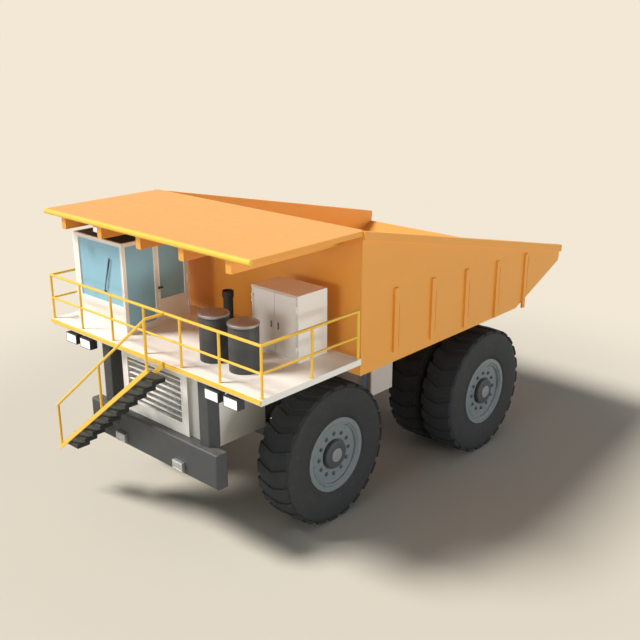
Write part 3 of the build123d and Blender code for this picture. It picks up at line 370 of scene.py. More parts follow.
# Real name and making of each finish, and what that gives the eye
FINISHES = {
    # Two-pack polyurethane sprayed on rolled plate: warm, satin, soft highlights along folds
    "orange_enamel": lambda n, c: paint(n, c.body, 0.42, dust=0.03, coat=0.15),
    # The same paint rubbed thin along its rounded edges, and made lighter there as a painted highlight
    "orange_edge": lambda n, c: paint(n, scaled(c.body, 1.12), 0.36, dust=0.05),
    # Safety yellow alkyd enamel: glossy and clean, on tubes that hands keep clear of dust
    "yellow_enamel": lambda n, c: paint(n, c.trim, 0.32, dust=0.05, coat=0.25),
    # Off-white polyurethane on cab and deck: bright, with a little more dust on flat tops
    "cream_enamel": lambda n, c: paint(n, c.cab, 0.45, dust=0.06, tone=0.97),
    # Cream enamel with quartz grit rolled in, for the walking surface of the deck
    "deck_enamel": lambda n, c: paint(n, c.cab, 0.68, dust=0.10, peel=0.4, grit=0.008),
    # Matt chassis black, thick and slightly uneven over castings and weldments
    "chassis_enamel": lambda n, c: paint(n, c.chassis, 0.55, tone=0.86, peel=0.12),
    # Chassis black rubbed thin along corners, so that they read a little lighter
    "chassis_edge": lambda n, c: paint(n, scaled(c.chassis, 1.5), 0.45, dust=0.05),
    # Heat-proof stoved paint of roof, stack and lamp cases: dark grey, matt and almost clean
    "roof_enamel": lambda n, c: paint(n, linear("36383A"), 0.75, dust=0.02),
    # Cream enamel sprayed on the engine housing, a shade greyer than the cab
    "housing_enamel": lambda n, c: paint(n, scaled(c.cab, 0.9), 0.5, dust=0.2),
    # Alkyd enamel sprayed on the rolled steel tanks: warm grey and satin
    "tank_enamel": lambda n, c: paint(n, linear("D2C9C2"), 0.48, tone=0.92),
    # Blue-grey wheel enamel baked on the rolled rim: smooth and glossy
    "rim_enamel": lambda n, c: paint(n, c.rim, 0.3, dust=0.06, tone=0.92, coat=0.4),
    # Cast steel hub under thick dark paint: matt and a little uneven
    "hub_enamel": lambda n, c: paint(n, linear("45494C"), 0.5, tone=0.85, peel=0.14),
    # Pressed hub cap, sprayed a shade lighter than the rim: smooth and glossy
    "cap_enamel": lambda n, c: paint(n, linear("8E9294"), 0.36, dust=0.05, coat=0.2),
    # Wheel nuts under the hub's dark paint, chipped a little by the socket
    "nut_enamel": lambda n, c: paint(n, linear("596065"), 0.45, tone=0.8),
    # Engine block: sand-cast iron under grey paint, pebbled by the mould
    "cast_iron": lambda n, c: paint(n, linear("55585A"), 0.6, tone=0.8, peel=0.5),
    # Tread blocks: moulded carbon-black rubber, scuffed dull by rock
    "tread_rubber": lambda n, c: rubber(n, c.tyre, 0.88, 0.5, 0.05),
    # Sidewall: the same rubber, smoother from the mould, with a slight sheen
    "side_rubber": lambda n, c: rubber(n, scaled(c.tyre, 1.1), 0.7, 0.12, 0.12),
    # Wiper: extruded black rubber, even and matt
    "seal_rubber": lambda n, c: rubber(n, linear("242526"), 0.6, 0.1, 0.03),
    # Hoist rods: hard chrome ground round the rod, which mirrors what is near
    "chrome": lambda n, c: metal(n, linear("D6D8DA"), 0.06, 0.16, (1.0, 1.0, 6.0)),
    # Lids of the cans: spun aluminium, its turning marks soften the highlight
    "spun_aluminium": lambda n, c: metal(n, linear("A9ABAD"), 0.32, 0.5, (1.0, 1.0, 8.0)),
    # Pulls of the cabinet doors: zinc-plated steel, dull and slightly blotched
    "zinc": lambda n, c: metal(n, linear("8F9295"), 0.35, 0.55, (1.0, 1.0, 1.0)),
    # Bumper lamps: machined aluminium, silver grey with marks across
    "lamp_alloy": lambda n, c: metal(n, linear("C2C4C4"), 0.45, 0.6, (4.0, 1.0, 1.0)),
    # Windows: laminated glass with a blue film between its sheets, an even pale blue
    "cab_glass": lambda n, c: glass(n, linear("98CBE0")),
    # Headlamp covers: clear polycarbonate moulded with flutes, bright and glossy
    "lamp_lens": lambda n, c: lens(n, linear("FFFFFA"), 0.25),
    # Sight strip of the tank: cast blue acrylic, a clear bright line, with a faint glow of painted light
    # though it is no lamp
    "gauge_acrylic": lambda n, c: lens(n, linear("5B9FD6"), 0.15),
    # Dash and console: grained ABS, pebbles 2 mm across drawn at 12 mm
    "dash_plastic": lambda n, c: plastic(n, linear("34363A"), 0.6, 0.012),
    # Seat cover: woven polyester, threads 0.8 mm apart drawn at 8 mm
    "seat_cloth": lambda n, c: plastic(n, linear("3E434A"), 0.9, 0.008),
    # Folded steel steps dipped in non-slip paint: dark, rough and matt
    "step_enamel": lambda n, c: paint(n, linear("343735"), 0.7, dust=0.06, peel=0.3),
    # Radiator fins: black-painted copper, seen only as dark depth
    "fin_black": lambda n, c: paint(n, linear("1E1F20"), 0.75, dust=0.0, tone=0.7),
}


def finish(name):
    """The named finish, made when it is first asked for."""
    found = bpy.data.materials.get(name)
    return found or FINISHES[name](name, bpy.context.scene.truck_colours)


# Selecting, shaping and settling

def only(*pieces):
    """Leave just these pieces selected, the last one active."""
    bpy.ops.object.select_all(action="DESELECT")
    for piece in pieces:
        piece.select_set(True)
    bpy.context.view_layer.objects.active = pieces[-1]


def open_mesh(piece, kind="FACE", action="DESELECT"):
    """Open one piece for shaping, with nothing or everything selected."""
    only(piece)
    bpy.ops.object.mode_set(mode="EDIT")
    bpy.ops.mesh.select_mode(type=kind)
    bpy.ops.mesh.select_all(action=action)


def close_mesh():
    bpy.ops.object.mode_set(mode="OBJECT")


def pick_faces(piece, test):
    """Select the faces whose middle and normal pass a test."""
    mesh = bmesh.from_edit_mesh(piece.data)
    for face in mesh.faces:
        face.select_set(bool(test(face.calc_center_median(), face.normal)))
    bmesh.update_edit_mesh(piece.data)


def pick_points(piece, test):
    """Select the points whose place passes a test."""
    mesh = bmesh.from_edit_mesh(piece.data)
    for point in mesh.verts:
        point.select_set(bool(test(point.co)))
    mesh.select_flush(True)
    bmesh.update_edit_mesh(piece.data)


def pick_long_edges(piece, shortest):
    """Select the sharp edges that are long enough to be rounded."""
    mesh = bmesh.from_edit_mesh(piece.data)
    for edge in mesh.edges:
        sharp = len(edge.link_faces) == 2 and edge.calc_face_angle(0) > math.radians(35)
        edge.select_set(sharp and edge.calc_length() > shortest)
    bmesh.update_edit_mesh(piece.data)


def apply_place(piece):
    only(piece)
    bpy.ops.object.transform_apply(location=True, rotation=True, scale=True)


def smooth(piece, degrees=40):
    only(piece)
    bpy.ops.object.shade_smooth_by_angle(angle=math.radians(degrees))


def modified(piece, kind, **settings):
    """Give a piece one modifier and apply it."""
    only(piece)
    modifier = piece.modifiers.new(kind, kind)
    for name, value in settings.items():
        setattr(modifier, name, value)
    bpy.ops.object.modifier_apply(modifier=modifier.name)


def even_normals(piece):
    """Keep large faces flat to the eye beside their rounded edges."""
    smooth(piece, 50)
    modified(piece, "WEIGHTED_NORMAL", keep_sharp=True, weight=80)


def round_long_edges(piece, width, shortest, slot=-1):
    """Round every long sharp edge, in the finish of the given slot."""
    open_mesh(piece, "EDGE")
    pick_long_edges(piece, shortest)
    bpy.ops.mesh.bevel(offset=width, segments=2, profile=0.7, affect="EDGES", material=slot)
    close_mesh()
    even_normals(piece)


def fuller(piece, thickness, test):
    """Move the faces that pass the test outwards, but not out of the piece's own box."""
    places = [point.co for point in piece.data.vertices]
    least = [min(place[axis] for place in places) for axis in range(3)]
    most = [max(place[axis] for place in places) for axis in range(3)]
    open_mesh(piece)
    pick_faces(piece, test)
    bpy.ops.transform.shrink_fatten(value=thickness, use_even_offset=True)
    close_mesh()
    for point in piece.data.vertices:
        point.co = [min(max(point.co[axis], least[axis]), most[axis]) for axis in range(3)]


def round_edges(piece, width, segments=2, degrees=30):
    """Round the edges of a small piece."""
    modified(
        piece, "BEVEL", width=width, segments=segments, limit_method="ANGLE",
        angle_limit=math.radians(degrees),
    )
    even_normals(piece)


def coat(piece, *names):
    """Give a piece its finishes, in the order of its slots."""
    slots = piece.data.materials
    for place, name in enumerate(names):
        if place < len(slots):
            slots[place] = finish(name)
        else:
            slots.append(finish(name))
    return piece


def coat_where(piece, slot, test):
    """Give the faces whose middle passes a test the finish in a slot."""
    for face in piece.data.polygons:
        if test(face.center, face.normal):
            face.material_index = slot


def keep(piece, name, body, slot, *names, stands_for=()):
    """Name a finished piece, coat it and fix it to its body."""
    piece.name = name
    piece.data.name = name
    coat(piece, *names)
    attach(piece, body)
    if stands_for:
        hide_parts(*stands_for)


def joined(pieces):
    """Join two or more pieces into one mesh."""
    only(*pieces)
    bpy.ops.object.join()
    return bpy.context.view_layer.objects.active


def repeated(piece, count, step):
    """Repeat a piece in a straight row."""
    modified(
        piece, "ARRAY", count=count, use_relative_offset=False, use_constant_offset=True,
        constant_offset_displace=step,
    )


def copied(piece, move=(0.0, 0.0, 0.0)):
    """A copy with its own mesh, moved by a distance."""
    only(piece)
    bpy.ops.object.duplicate()
    twin = bpy.context.active_object
    if twin.data.users > 1:
        twin.data = twin.data.copy()
    bpy.ops.transform.translate(value=move)
    apply_place(twin)
    return twin


def added(maker, **settings):
    """Add one primitive with nothing else selected."""
    bpy.ops.object.select_all(action="DESELECT")
    maker(**settings)
    return bpy.context.active_object


def add_box(low, high):
    low, high = Vector(low), Vector(high)
    piece = added(bpy.ops.mesh.primitive_cube_add, size=1, location=(low + high) / 2)
    piece.scale = high - low
    apply_place(piece)
    return piece


def add_bar(start, end, radius, sides=16):
    start, end = Vector(start), Vector(end)
    run = end - start
    piece = added(
        bpy.ops.mesh.primitive_cylinder_add, vertices=sides, radius=radius, depth=run.length,
        location=(start + end) / 2, rotation=run.to_track_quat("Z", "Y").to_euler(),
    )
    apply_place(piece)
    return piece


def add_nut(place, axis, radius, height):
    """Hexagon nut on a washer, with the end of its stud, standing along an axis."""
    place, axis = Vector(place), Vector(axis)
    half = axis * height * 0.2
    washer = add_bar(place - half, place + half, radius * 1.35, 16)
    nut = add_bar(place, place + axis * height, radius, 6)
    stud = add_bar(place, place + axis * height * 1.5, radius * 0.55, 10)
    for piece, width in ((washer, 0.06), (nut, 0.14), (stud, 0.12)):
        round_edges(piece, radius * width, 1)
    return joined([washer, nut, stud])


def add_frame(low, high, axis, width, proud):
    """Narrow frame round an opening. It lies across one axis and stands proud along it."""
    low, high = Vector(low), Vector(high)
    piece = add_box(low, high)
    open_mesh(piece)
    across = Vector([1.0 if i == axis else 0.0 for i in range(3)])
    pick_faces(piece, lambda middle, normal: abs(normal.dot(across)) > 0.9)
    bpy.ops.mesh.inset(thickness=width, depth=0.0, use_individual=True)
    bpy.ops.mesh.bridge_edge_loops()
    bpy.ops.mesh.select_all(action="SELECT")
    bpy.ops.mesh.normals_make_consistent(inside=False)
    close_mesh()
    round_edges(piece, min(width, proud) * 0.3, 2)
    return piece


def turned(points, centre, along, steps):
    """Turn an outline of (place along the axis, radius) once round an axis, 0 for X or 2 for Z."""
    centre = Vector(centre)
    out = Vector((0.0, 0.0, 1.0)) if along == 0 else Vector((1.0, 0.0, 0.0))
    axis = Vector((1.0, 0.0, 0.0)) if along == 0 else Vector((0.0, 0.0, 1.0))
    places = [centre + axis * a + out * r for a, r in points]
    piece = added(bpy.ops.mesh.primitive_plane_add, size=0.01, location=places[0])
    apply_place(piece)
    open_mesh(piece, "VERT", "SELECT")
    bpy.ops.mesh.merge(type="CENTER")
    for start, end in zip(places, places[1:]):
        bpy.ops.mesh.extrude_region_move(TRANSFORM_OT_translate={"value": end - start})
    bpy.ops.mesh.select_all(action="SELECT")
    bpy.ops.mesh.spin(steps=steps, angle=math.tau, center=centre, axis=axis)
    bpy.ops.mesh.select_all(action="SELECT")
    bpy.ops.mesh.remove_doubles(threshold=0.0005)
    bpy.ops.mesh.normals_make_consistent(inside=False)
    close_mesh()
    return piece


def plate_copy(node):
    """A merged copy of a CAD node, its triangles joined into whole faces."""
    piece = bpy.data.objects.new(node + "_plate", frame["nodes"][node].data.copy())
    bpy.context.scene.collection.objects.link(piece)
    only(piece)
    bpy.ops.mesh.customdata_custom_splitnormals_clear()
    open_mesh(piece, "VERT", "SELECT")
    bpy.ops.mesh.remove_doubles(threshold=0.0002)
    bpy.ops.mesh.dissolve_limited(angle_limit=math.radians(1.5))
    close_mesh()
    return piece


def body_of(node):
    return frame["nodes"][node]["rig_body"]


def slot_of(node):
    """The record's slot of a CAD node, which its own material is named for."""
    return frame["nodes"][node].data.materials[0].name.split(".")[0]


def stand_in(piece, name, node, *names):
    """Keep a piece that is seen in place of one CAD node, on its body."""
    keep(piece, name, body_of(node), slot_of(node), *names, stands_for=(node,))


# Plates, castings and weldments that keep the solids' shapes and gain rounded edges:
# finish, finish of the edges, and the nodes with the width of their edges in metres
DRESSED = [
    ("chassis_enamel", "chassis_edge", {
        "bumper": 0.0, "deck_columns": 0.0, "chassis_frame": 0.012, "front_axle": 0.012,
        "rear_axle": 0.012, "knuckle_left": 0.010, "knuckle_right": 0.010,
    }),
    ("cream_enamel", "cream_enamel", {
        "cab_ends": 0.016, "cab_sides": 0.0, "cab_door": 0.008, "cabinet": 0.012,
        "cabinet_door_inner": 0.007, "cabinet_door_outer": 0.007,
    }),
    # Lighter rounded edges of the orange plates: rubbed paint and a painted highlight
    ("orange_enamel", "orange_edge", {
        "body_floor": 0.012, "body_frame": 0.010, "body_sides": 0.014, "body_front_wall": 0.010,
        "body_canopy": 0.014,
    }),
    ("housing_enamel", "housing_enamel", {"engine_housing": 0.010}),
    ("deck_enamel", "cream_enamel", {"deck_plate": 0.014}),
    ("dash_plastic", "dash_plastic", {"cab_floor": 0.004}),
    ("tank_enamel", "tank_enamel", {"side_tanks": 0.012}),
    ("cast_iron", "cast_iron", {"engine_block": 0.030}),
]

# Tubes, rods and panes whose solids are right as they are
COATED = {
    "yellow_enamel": ["canopy_bar"],
    "chassis_enamel": ["struts", "hoist_barrel_left", "hoist_barrel_right"],
    "chrome": ["hoist_rod_left", "hoist_rod_right"],
    "cab_glass": ["cab_windows", "cab_door_glass"],
}


# Sizes and colours a user would change

def colour_field(label, note, colour):
    """A colour that the user may choose in the panel."""
    return FloatVectorProperty(
        name=label, description=note, subtype="COLOR", size=4, min=0.0, max=1.0, default=linear(colour),
    )


class TruckColours(bpy.types.PropertyGroup):
    body: colour_field("Body paint", "Colour of the tipping body and canopy", "F4A845")
    trim: colour_field("Rail paint", "Colour of the rails and the canopy bar", "FBC944")
    cab: colour_field("Cab paint", "Colour of the cab, deck, cabinet and grille", "F6F3EB")
    chassis: colour_field("Chassis paint", "Colour of bumper, columns, frame and axles", "444647")
    rim: colour_field("Rim paint", "Colour of the wheel rims", "80898D")
    tyre: colour_field("Tyre rubber", "Colour of the tyres", "2F3133")


def length_field(label, note, least, most, usual):
    """A length in metres that the user may choose in the panel."""
    return FloatProperty(
        name=label, description=note, subtype="DISTANCE", unit="LENGTH", min=least, max=most,
        default=usual,
    )


class TruckSizes(bpy.types.PropertyGroup):
    lug_share: FloatProperty(
        name="Lug share", description="Share of the tread's pitch that a lug fills",
        subtype="FACTOR", min=0.4, max=0.9, default=0.72,
    )
    lug_sweep: length_field("Lug sweep", "How far a lug's middle lies ahead of its ends", 0.0, 0.3, 0.176)
    lug_count: IntProperty(
        name="Lugs", description="Lugs round one tyre", min=12, max=40, default=24,
    )
    nut: length_field("Wheel nut", "Radius of a wheel nut across its corners", 0.02, 0.08, 0.042)
    bead: length_field("Window bead", "Width of the painted bead round the glass", 0.01, 0.08, 0.018)


# Stage

def sun(name, direction, strength, angle, colour):
    """A soft sun that shines along a direction."""
    data = bpy.data.lights.new(name, "SUN")
    data.energy = strength
    data.angle = math.radians(angle)
    data.color = linear(colour)[:3]
    lamp = bpy.data.objects.new(name, data)
    lamp.rotation_euler = Vector(direction).to_track_quat("-Z", "Y").to_euler()
    bpy.context.scene.collection.objects.link(lamp)


class DUMPTRUCK_OT_stage(bpy.types.Operator):
    """Pale floor, soft light and the camera"""
    bl_idname = "dump_truck.stage"
    bl_label = "Stage"

    def execute(self, context):
        self.camera(context.scene)
        # Three wide soft suns: from the truck's right front above, from its left side and from its front
        sun("Key", (0.575, 0.60, -1.0), 3.66, 17.0, "FFFDFB")
        sun("Fill", (-0.93, -0.30, -0.03), 1.52, 20.0, "FBFDFF")
        sun("Front", (-0.04, 0.98, -0.06), 0.94, 20.0, "F6FAFF")
        self.world(context.scene)
        self.floor()
        return {"FINISHED"}

    def camera(self, scene):
        data = bpy.data.cameras.new("Camera")
        data.lens = 50
        data.sensor_width = 36
        data.clip_end = 400
        camera = bpy.data.objects.new("Camera", data)
        camera.location = CAMERA_PLACE
        camera.rotation_euler = (math.radians(90 - CAMERA_DOWN), 0, math.radians(CAMERA_TURN))
        scene.collection.objects.link(camera)
        scene.camera = camera
        scene.view_settings.view_transform = "Standard"

    def world(self, scene):
        # The camera, mirrors and glass see a pale backdrop; everything else is lit by a dim sky
        world = bpy.data.worlds.new("Studio")
        world.use_nodes = True
        scene.world = world
        tree = world.node_tree
        tree.nodes.clear()
        path = add_node(tree, "ShaderNodeLightPath").outputs
        seen = maths(tree, "MAXIMUM", path["Is Camera Ray"], path["Is Glossy Ray"])
        through = maths(tree, "MAXIMUM", seen, path["Is Transmission Ray"])
        light = add_node(tree, "ShaderNodeBackground", {"Color": linear("D9E6F3"), "Strength": 0.23})
        back = add_node(tree, "ShaderNodeBackground", {"Color": linear("F2E8D5"), "Strength": 1.0})
        crossed(tree, "ShaderNodeOutputWorld", through, light.outputs[0], back.outputs[0])

    def floor(self):
        floor = added(bpy.ops.mesh.primitive_circle_add, vertices=96, radius=300, fill_type="NGON")
        floor.name = "floor"
        open_mesh(floor, action="SELECT")
        bpy.ops.mesh.inset(thickness=240, depth=0.0)
        close_mesh()
        floor.data.materials.append(self.plaster())

    def plaster(self):
        # Cast plaster floor, pale and matt, which fades into the backdrop away from the truck
        material, tree = blank_material("plaster_floor")
        place = add_node(tree, "ShaderNodeTexCoord")
        away = add_node(
            tree, "ShaderNodeVectorMath", {"operation": "LENGTH"}, {0: place.outputs["Object"]},
        )
        far = add_node(
            tree, "ShaderNodeMapRange",
            {"interpolation_type": "SMOOTHSTEP", 1: 8.5, 2: 17.0, 3: 0.0, 4: 1.0},
            {0: away.outputs[1]},
        )
        near = add_node(tree, "ShaderNodeBsdfDiffuse", {"Color": linear("D6CEBE")})
        pale = add_node(tree, "ShaderNodeEmission", {"Color": linear("F2E8D5"), "Strength": 1.0})
        path = add_node(tree, "ShaderNodeLightPath").outputs
        seen = maths(tree, "MULTIPLY", far.outputs[0], path["Is Camera Ray"])
        crossed(tree, "ShaderNodeOutputMaterial", seen, near.outputs[0], pale.outputs[0])
        return material


# Plates

class DUMPTRUCK_OT_plates(bpy.types.Operator):
    """Plates, castings and weldments, with rounded edges"""
    bl_idname = "dump_truck.plates"
    bl_label = "Plates and weldments"

    def execute(self, context):
        for face_finish, edge_finish, nodes in DRESSED:
            for node, width in nodes.items():
                self.plate(node, width, face_finish, edge_finish)
        for name, nodes in COATED.items():
            for node in nodes:
                coat(frame["nodes"][node], name)
        return {"FINISHED"}

    def plate(self, node, width, face_finish, edge_finish):
        piece = coat(plate_copy(node), face_finish, edge_finish)
        if width:
            round_long_edges(piece, width, 12 * width, 1)
        else:
            smooth(piece, 40)
        stand_in(piece, node + "_plate", node)
        if node.startswith("cabinet_door"):
            self.grip(piece)

    def grip(self, piece):
        # The pull of a cabinet door stands beside the seam, in bare metal
        piece.data.materials.append(finish("zinc"))
        coat_where(piece, 2, lambda middle, normal: (
            0.02 < abs(middle.x - CABINET_SEAM) < 0.13 and GRIP_LOW < middle.z < GRIP_HIGH
        ))


# Tyres

def wrapped(piece, centre):
    """Wrap a flat strip round the axle: its length goes round, its height outwards."""
    reach = TYRE_RADIUS - LUG_HEIGHT
    for point in piece.data.vertices:
        x, y, z = point.co
        turn = y / TYRE_RADIUS
        radius = reach + z
        point.co = centre + Vector((x, radius * math.sin(turn), radius * math.cos(turn)))


def push_points(piece, test, move):
    """Move the points that pass a test."""
    pick_points(piece, test)
    bpy.ops.transform.translate(value=move)


def one_lug(sizes, pitch):
    """One flat chevron lug, standing on the carcass."""
    lug = added(
        bpy.ops.mesh.primitive_grid_add, x_subdivisions=4, y_subdivisions=2, size=1, location=(0, 0, 0),
    )
    lug.scale = (2 * CROWN_HALF, pitch * sizes.lug_share, 1.0)
    lug.location = (0.0, sizes.lug_sweep / 2, -LUG_ROOT)
    apply_place(lug)
    # The middle leads by the whole sweep, and the points halfway out by half of it
    open_mesh(lug, "VERT")
    push_points(lug, lambda place: abs(place.x) < 0.01, (0.0, -sizes.lug_sweep, 0.0))
    push_points(lug, lambda place: 0.1 < abs(place.x) < 0.3, (0.0, -sizes.lug_sweep / 2, 0.0))
    bpy.ops.mesh.select_all(action="SELECT")
    bpy.ops.mesh.extrude_region_move(
        TRANSFORM_OT_translate={"value": (0.0, 0.0, LUG_ROOT + LUG_HEIGHT)},
    )
    bpy.ops.mesh.select_all(action="SELECT")
    bpy.ops.mesh.normals_make_consistent(inside=False)
    # The sides lean in towards the top, and the ends more, as a mould lets go of them
    pick_points(lug, lambda place: place.z > 0.0)
    bpy.ops.transform.resize(value=(0.97, 0.90, 1.0), center_override=(0.0, 0.0, 0.0))
    # The tread is crowned: its ends lie lower than its middle
    push_points(lug, lambda place: place.z > 0.0 and abs(place.x) > 0.4, (0.0, 0.0, -0.016))
    push_points(lug, lambda place: place.z > 0.0 and 0.1 < abs(place.x) < 0.3, (0.0, 0.0, -0.003))
    close_mesh()
    round_edges(lug, 0.014, 2, 35)
    return lug


def tread_strip(sizes):
    """All the lugs of one tyre, as a flat strip."""
    pitch = math.tau * TYRE_RADIUS / sizes.lug_count
    lugs = one_lug(sizes, pitch)
    repeated(lugs, sizes.lug_count, (0.0, pitch, 0.0))
    return lugs


# Half of the carcass's outline, from the bead out to the crown: place across, radius
CARCASS_HALF = [
    (0.408, 0.840), (0.420, 0.898), (0.436, 0.930), (0.452, 0.985), (0.462, 1.040), (0.475, 1.140),
    (0.4845, 1.260), (0.4845, 1.350), (0.480, 1.440), (0.472, 1.520), (0.462, 1.572), (0.447, 1.612),
    (0.424, 1.642), (0.392, 1.664), (0.350, 1.677), (0.300, 1.680), (0.100, 1.680),
]

# The low ring that the mould leaves beside the bead
SIDE_RING = [(0.4475, 0.965), (0.4595, 0.978), (0.4645, 0.998), (0.463, 1.02)]


def one_tyre(sizes, centre):
    """Carcass turned round its axle, with its lugs wrapped on."""
    outline = [(-x, r) for x, r in CARCASS_HALF] + CARCASS_HALF[::-1]
    carcass = turned(outline, centre, 0, TYRE_STEPS)
    smooth(carcass, 50)
    coat(carcass, "side_rubber", "tread_rubber")
    coat_where(carcass, 1, lambda place, normal: math.dist(place.yz, centre.yz) > TREAD_EDGE)
    lugs = tread_strip(sizes)
    wrapped(lugs, centre)
    coat(lugs, "tread_rubber")
    rings = []
    for side in (-1, 1):
        ring = turned([(side * x, r) for x, r in SIDE_RING], centre, 0, TYRE_STEPS)
        smooth(ring, 60)
        rings.append(coat(ring, "side_rubber"))
    return joined([lugs] + rings + [carcass])


class DUMPTRUCK_OT_tyres(bpy.types.Operator):
    """Six tyres with chevron lugs"""
    bl_idname = "dump_truck.tyres"
    bl_label = "Tyres"

    def execute(self, context):
        centre = Vector((FRONT_TYRE_X, FRONT_AXLE_Y, AXLE_Z))
        first = one_tyre(context.scene.truck_sizes, centre)
        back = REAR_AXLE_Y - FRONT_AXLE_Y
        right = copied(first, (-2 * FRONT_TYRE_X, 0.0, 0.0))
        pairs = []
        for side in (1, -1):
            pairs.append(joined([
                copied(first, (side * x - FRONT_TYRE_X, back, 0.0)) for x in (REAR_OUTER_X, REAR_INNER_X)
            ]))
        rows = [
            (first, "tyre_left_front", "tyre_front_left"),
            (right, "tyre_right_front", "tyre_front_right"),
            (pairs[0], "tyre_pair_left", "tyres_rear_left"),
            (pairs[1], "tyre_pair_right", "tyres_rear_right"),
        ]
        for piece, name, node in rows:
            stand_in(piece, name, node)
        return {"FINISHED"}


# Rims

# Outlines of the turned pieces of a rim: place outwards from the wheel's middle, radius
RIM_LIP = [
    (-0.452, 0.842), (-0.452, 0.902), (-0.446, 0.908), (-0.416, 0.908), (-0.410, 0.902), (-0.410, 0.880),
    (0.410, 0.880), (0.410, 0.902), (0.416, 0.908), (0.443, 0.908), (0.452, 0.900), (0.4525, 0.806),
    (0.451, 0.798), (0.446, 0.793),
]

RIM_DISH = [
    (0.420, 0.782), (0.412, 0.776), (0.410, 0.768), (0.412, 0.760), (0.420, 0.756), (0.424, 0.750),
    (0.424, 0.742), (0.420, 0.736), (0.400, 0.728), (0.372, 0.722), (0.3635, 0.714), (0.362, 0.702),
    (0.362, 0.384), (0.358, 0.378), (0.338, 0.376), (0.335, 0.372), (0.335, 0.338), (0.317, 0.336),
    (0.317, 0.834), (-0.452, 0.842),
]

RIM_OPEN = [(0.440, 0.846), (0.430, 0.842), (-0.452, 0.842)]

HUB = [
    (0.300, 0.338), (0.335, 0.348), (0.425, 0.345), (0.440, 0.341), (0.452, 0.331), (0.459, 0.316),
    (0.461, 0.304), (0.462, 0.190), (0.458, 0.184), (0.456, 0.176), (0.456, 0.0),
]

SPACER_DRUM = [(-0.630, 0.842), (-0.630, 0.880), (-0.450, 0.880), (-0.450, 0.842), (-0.630, 0.842)]

HUB_CAP = [(0.450, 0.170), (0.473, 0.169), (0.480, 0.164), (0.482, 0.155), (0.482, 0.0)]


class DUMPTRUCK_OT_rims(bpy.types.Operator):
    """Rims with hub, hub cap and wheel nuts"""
    bl_idname = "dump_truck.rims"
    bl_label = "Rims"

    def execute(self, context):
        sizes = context.scene.truck_sizes
        rows = [
            ("rim_front_left", FRONT_TYRE_X, FRONT_AXLE_Y, 1, False),
            ("rim_front_right", -FRONT_TYRE_X, FRONT_AXLE_Y, -1, False),
            ("rim_rear_left", REAR_OUTER_X, REAR_AXLE_Y, 1, True),
            ("rim_rear_right", -REAR_OUTER_X, REAR_AXLE_Y, -1, True),
        ]
        for node, x, y, side, twin in rows:
            centre = Vector((x, y, AXLE_Z))
            self.rim(node, centre, side, twin)
            self.nuts(node, centre, side, sizes.nut)
        return {"FINISHED"}

    def rim(self, node, centre, side, twin):
        outlines = [(RIM_LIP + RIM_DISH, "rim_enamel"), (HUB, "hub_enamel"), (HUB_CAP, "cap_enamel")]
        places = [centre, centre, centre]
        if twin:
            # The inner ring is carried by a plain spacer drum
            step = side * (REAR_OUTER_X - REAR_INNER_X)
            outlines.append((RIM_LIP + RIM_OPEN, "rim_enamel"))
            places.append(centre - Vector((step, 0.0, 0.0)))
            outlines.append((SPACER_DRUM, "rim_enamel"))
            places.append(centre)
        pieces = []
        for (outline, name), place in zip(outlines, places):
            piece = turned([(side * x, r) for x, r in outline], place, 0, RIM_STEPS)
            smooth(piece, 28)
            pieces.append(coat(piece, name))
        stand_in(joined(pieces[::-1]), node + "_shell", node)

    def nuts(self, node, centre, side, radius):
        place = centre + Vector((side * NUT_FACE, 0.0, NUT_CIRCLE))
        first = add_nut(place, (side, 0, 0), radius, NUT_HEIGHT)
        pieces = [first]
        for turn in range(1, NUT_COUNT):
            pieces.append(turned_copy(first, centre, math.tau * turn / NUT_COUNT))
        keep(joined(pieces), node + "_nuts", body_of(node), "grey_metal", "nut_enamel")


def turned_copy(piece, centre, angle):
    """A copy turned round the axle by an angle."""
    twin = copied(piece)
    twin.data.transform(
        Matrix.Translation(centre) @ Matrix.Rotation(angle, 4, "X") @ Matrix.Translation(-centre)
    )
    return twin


# Cab

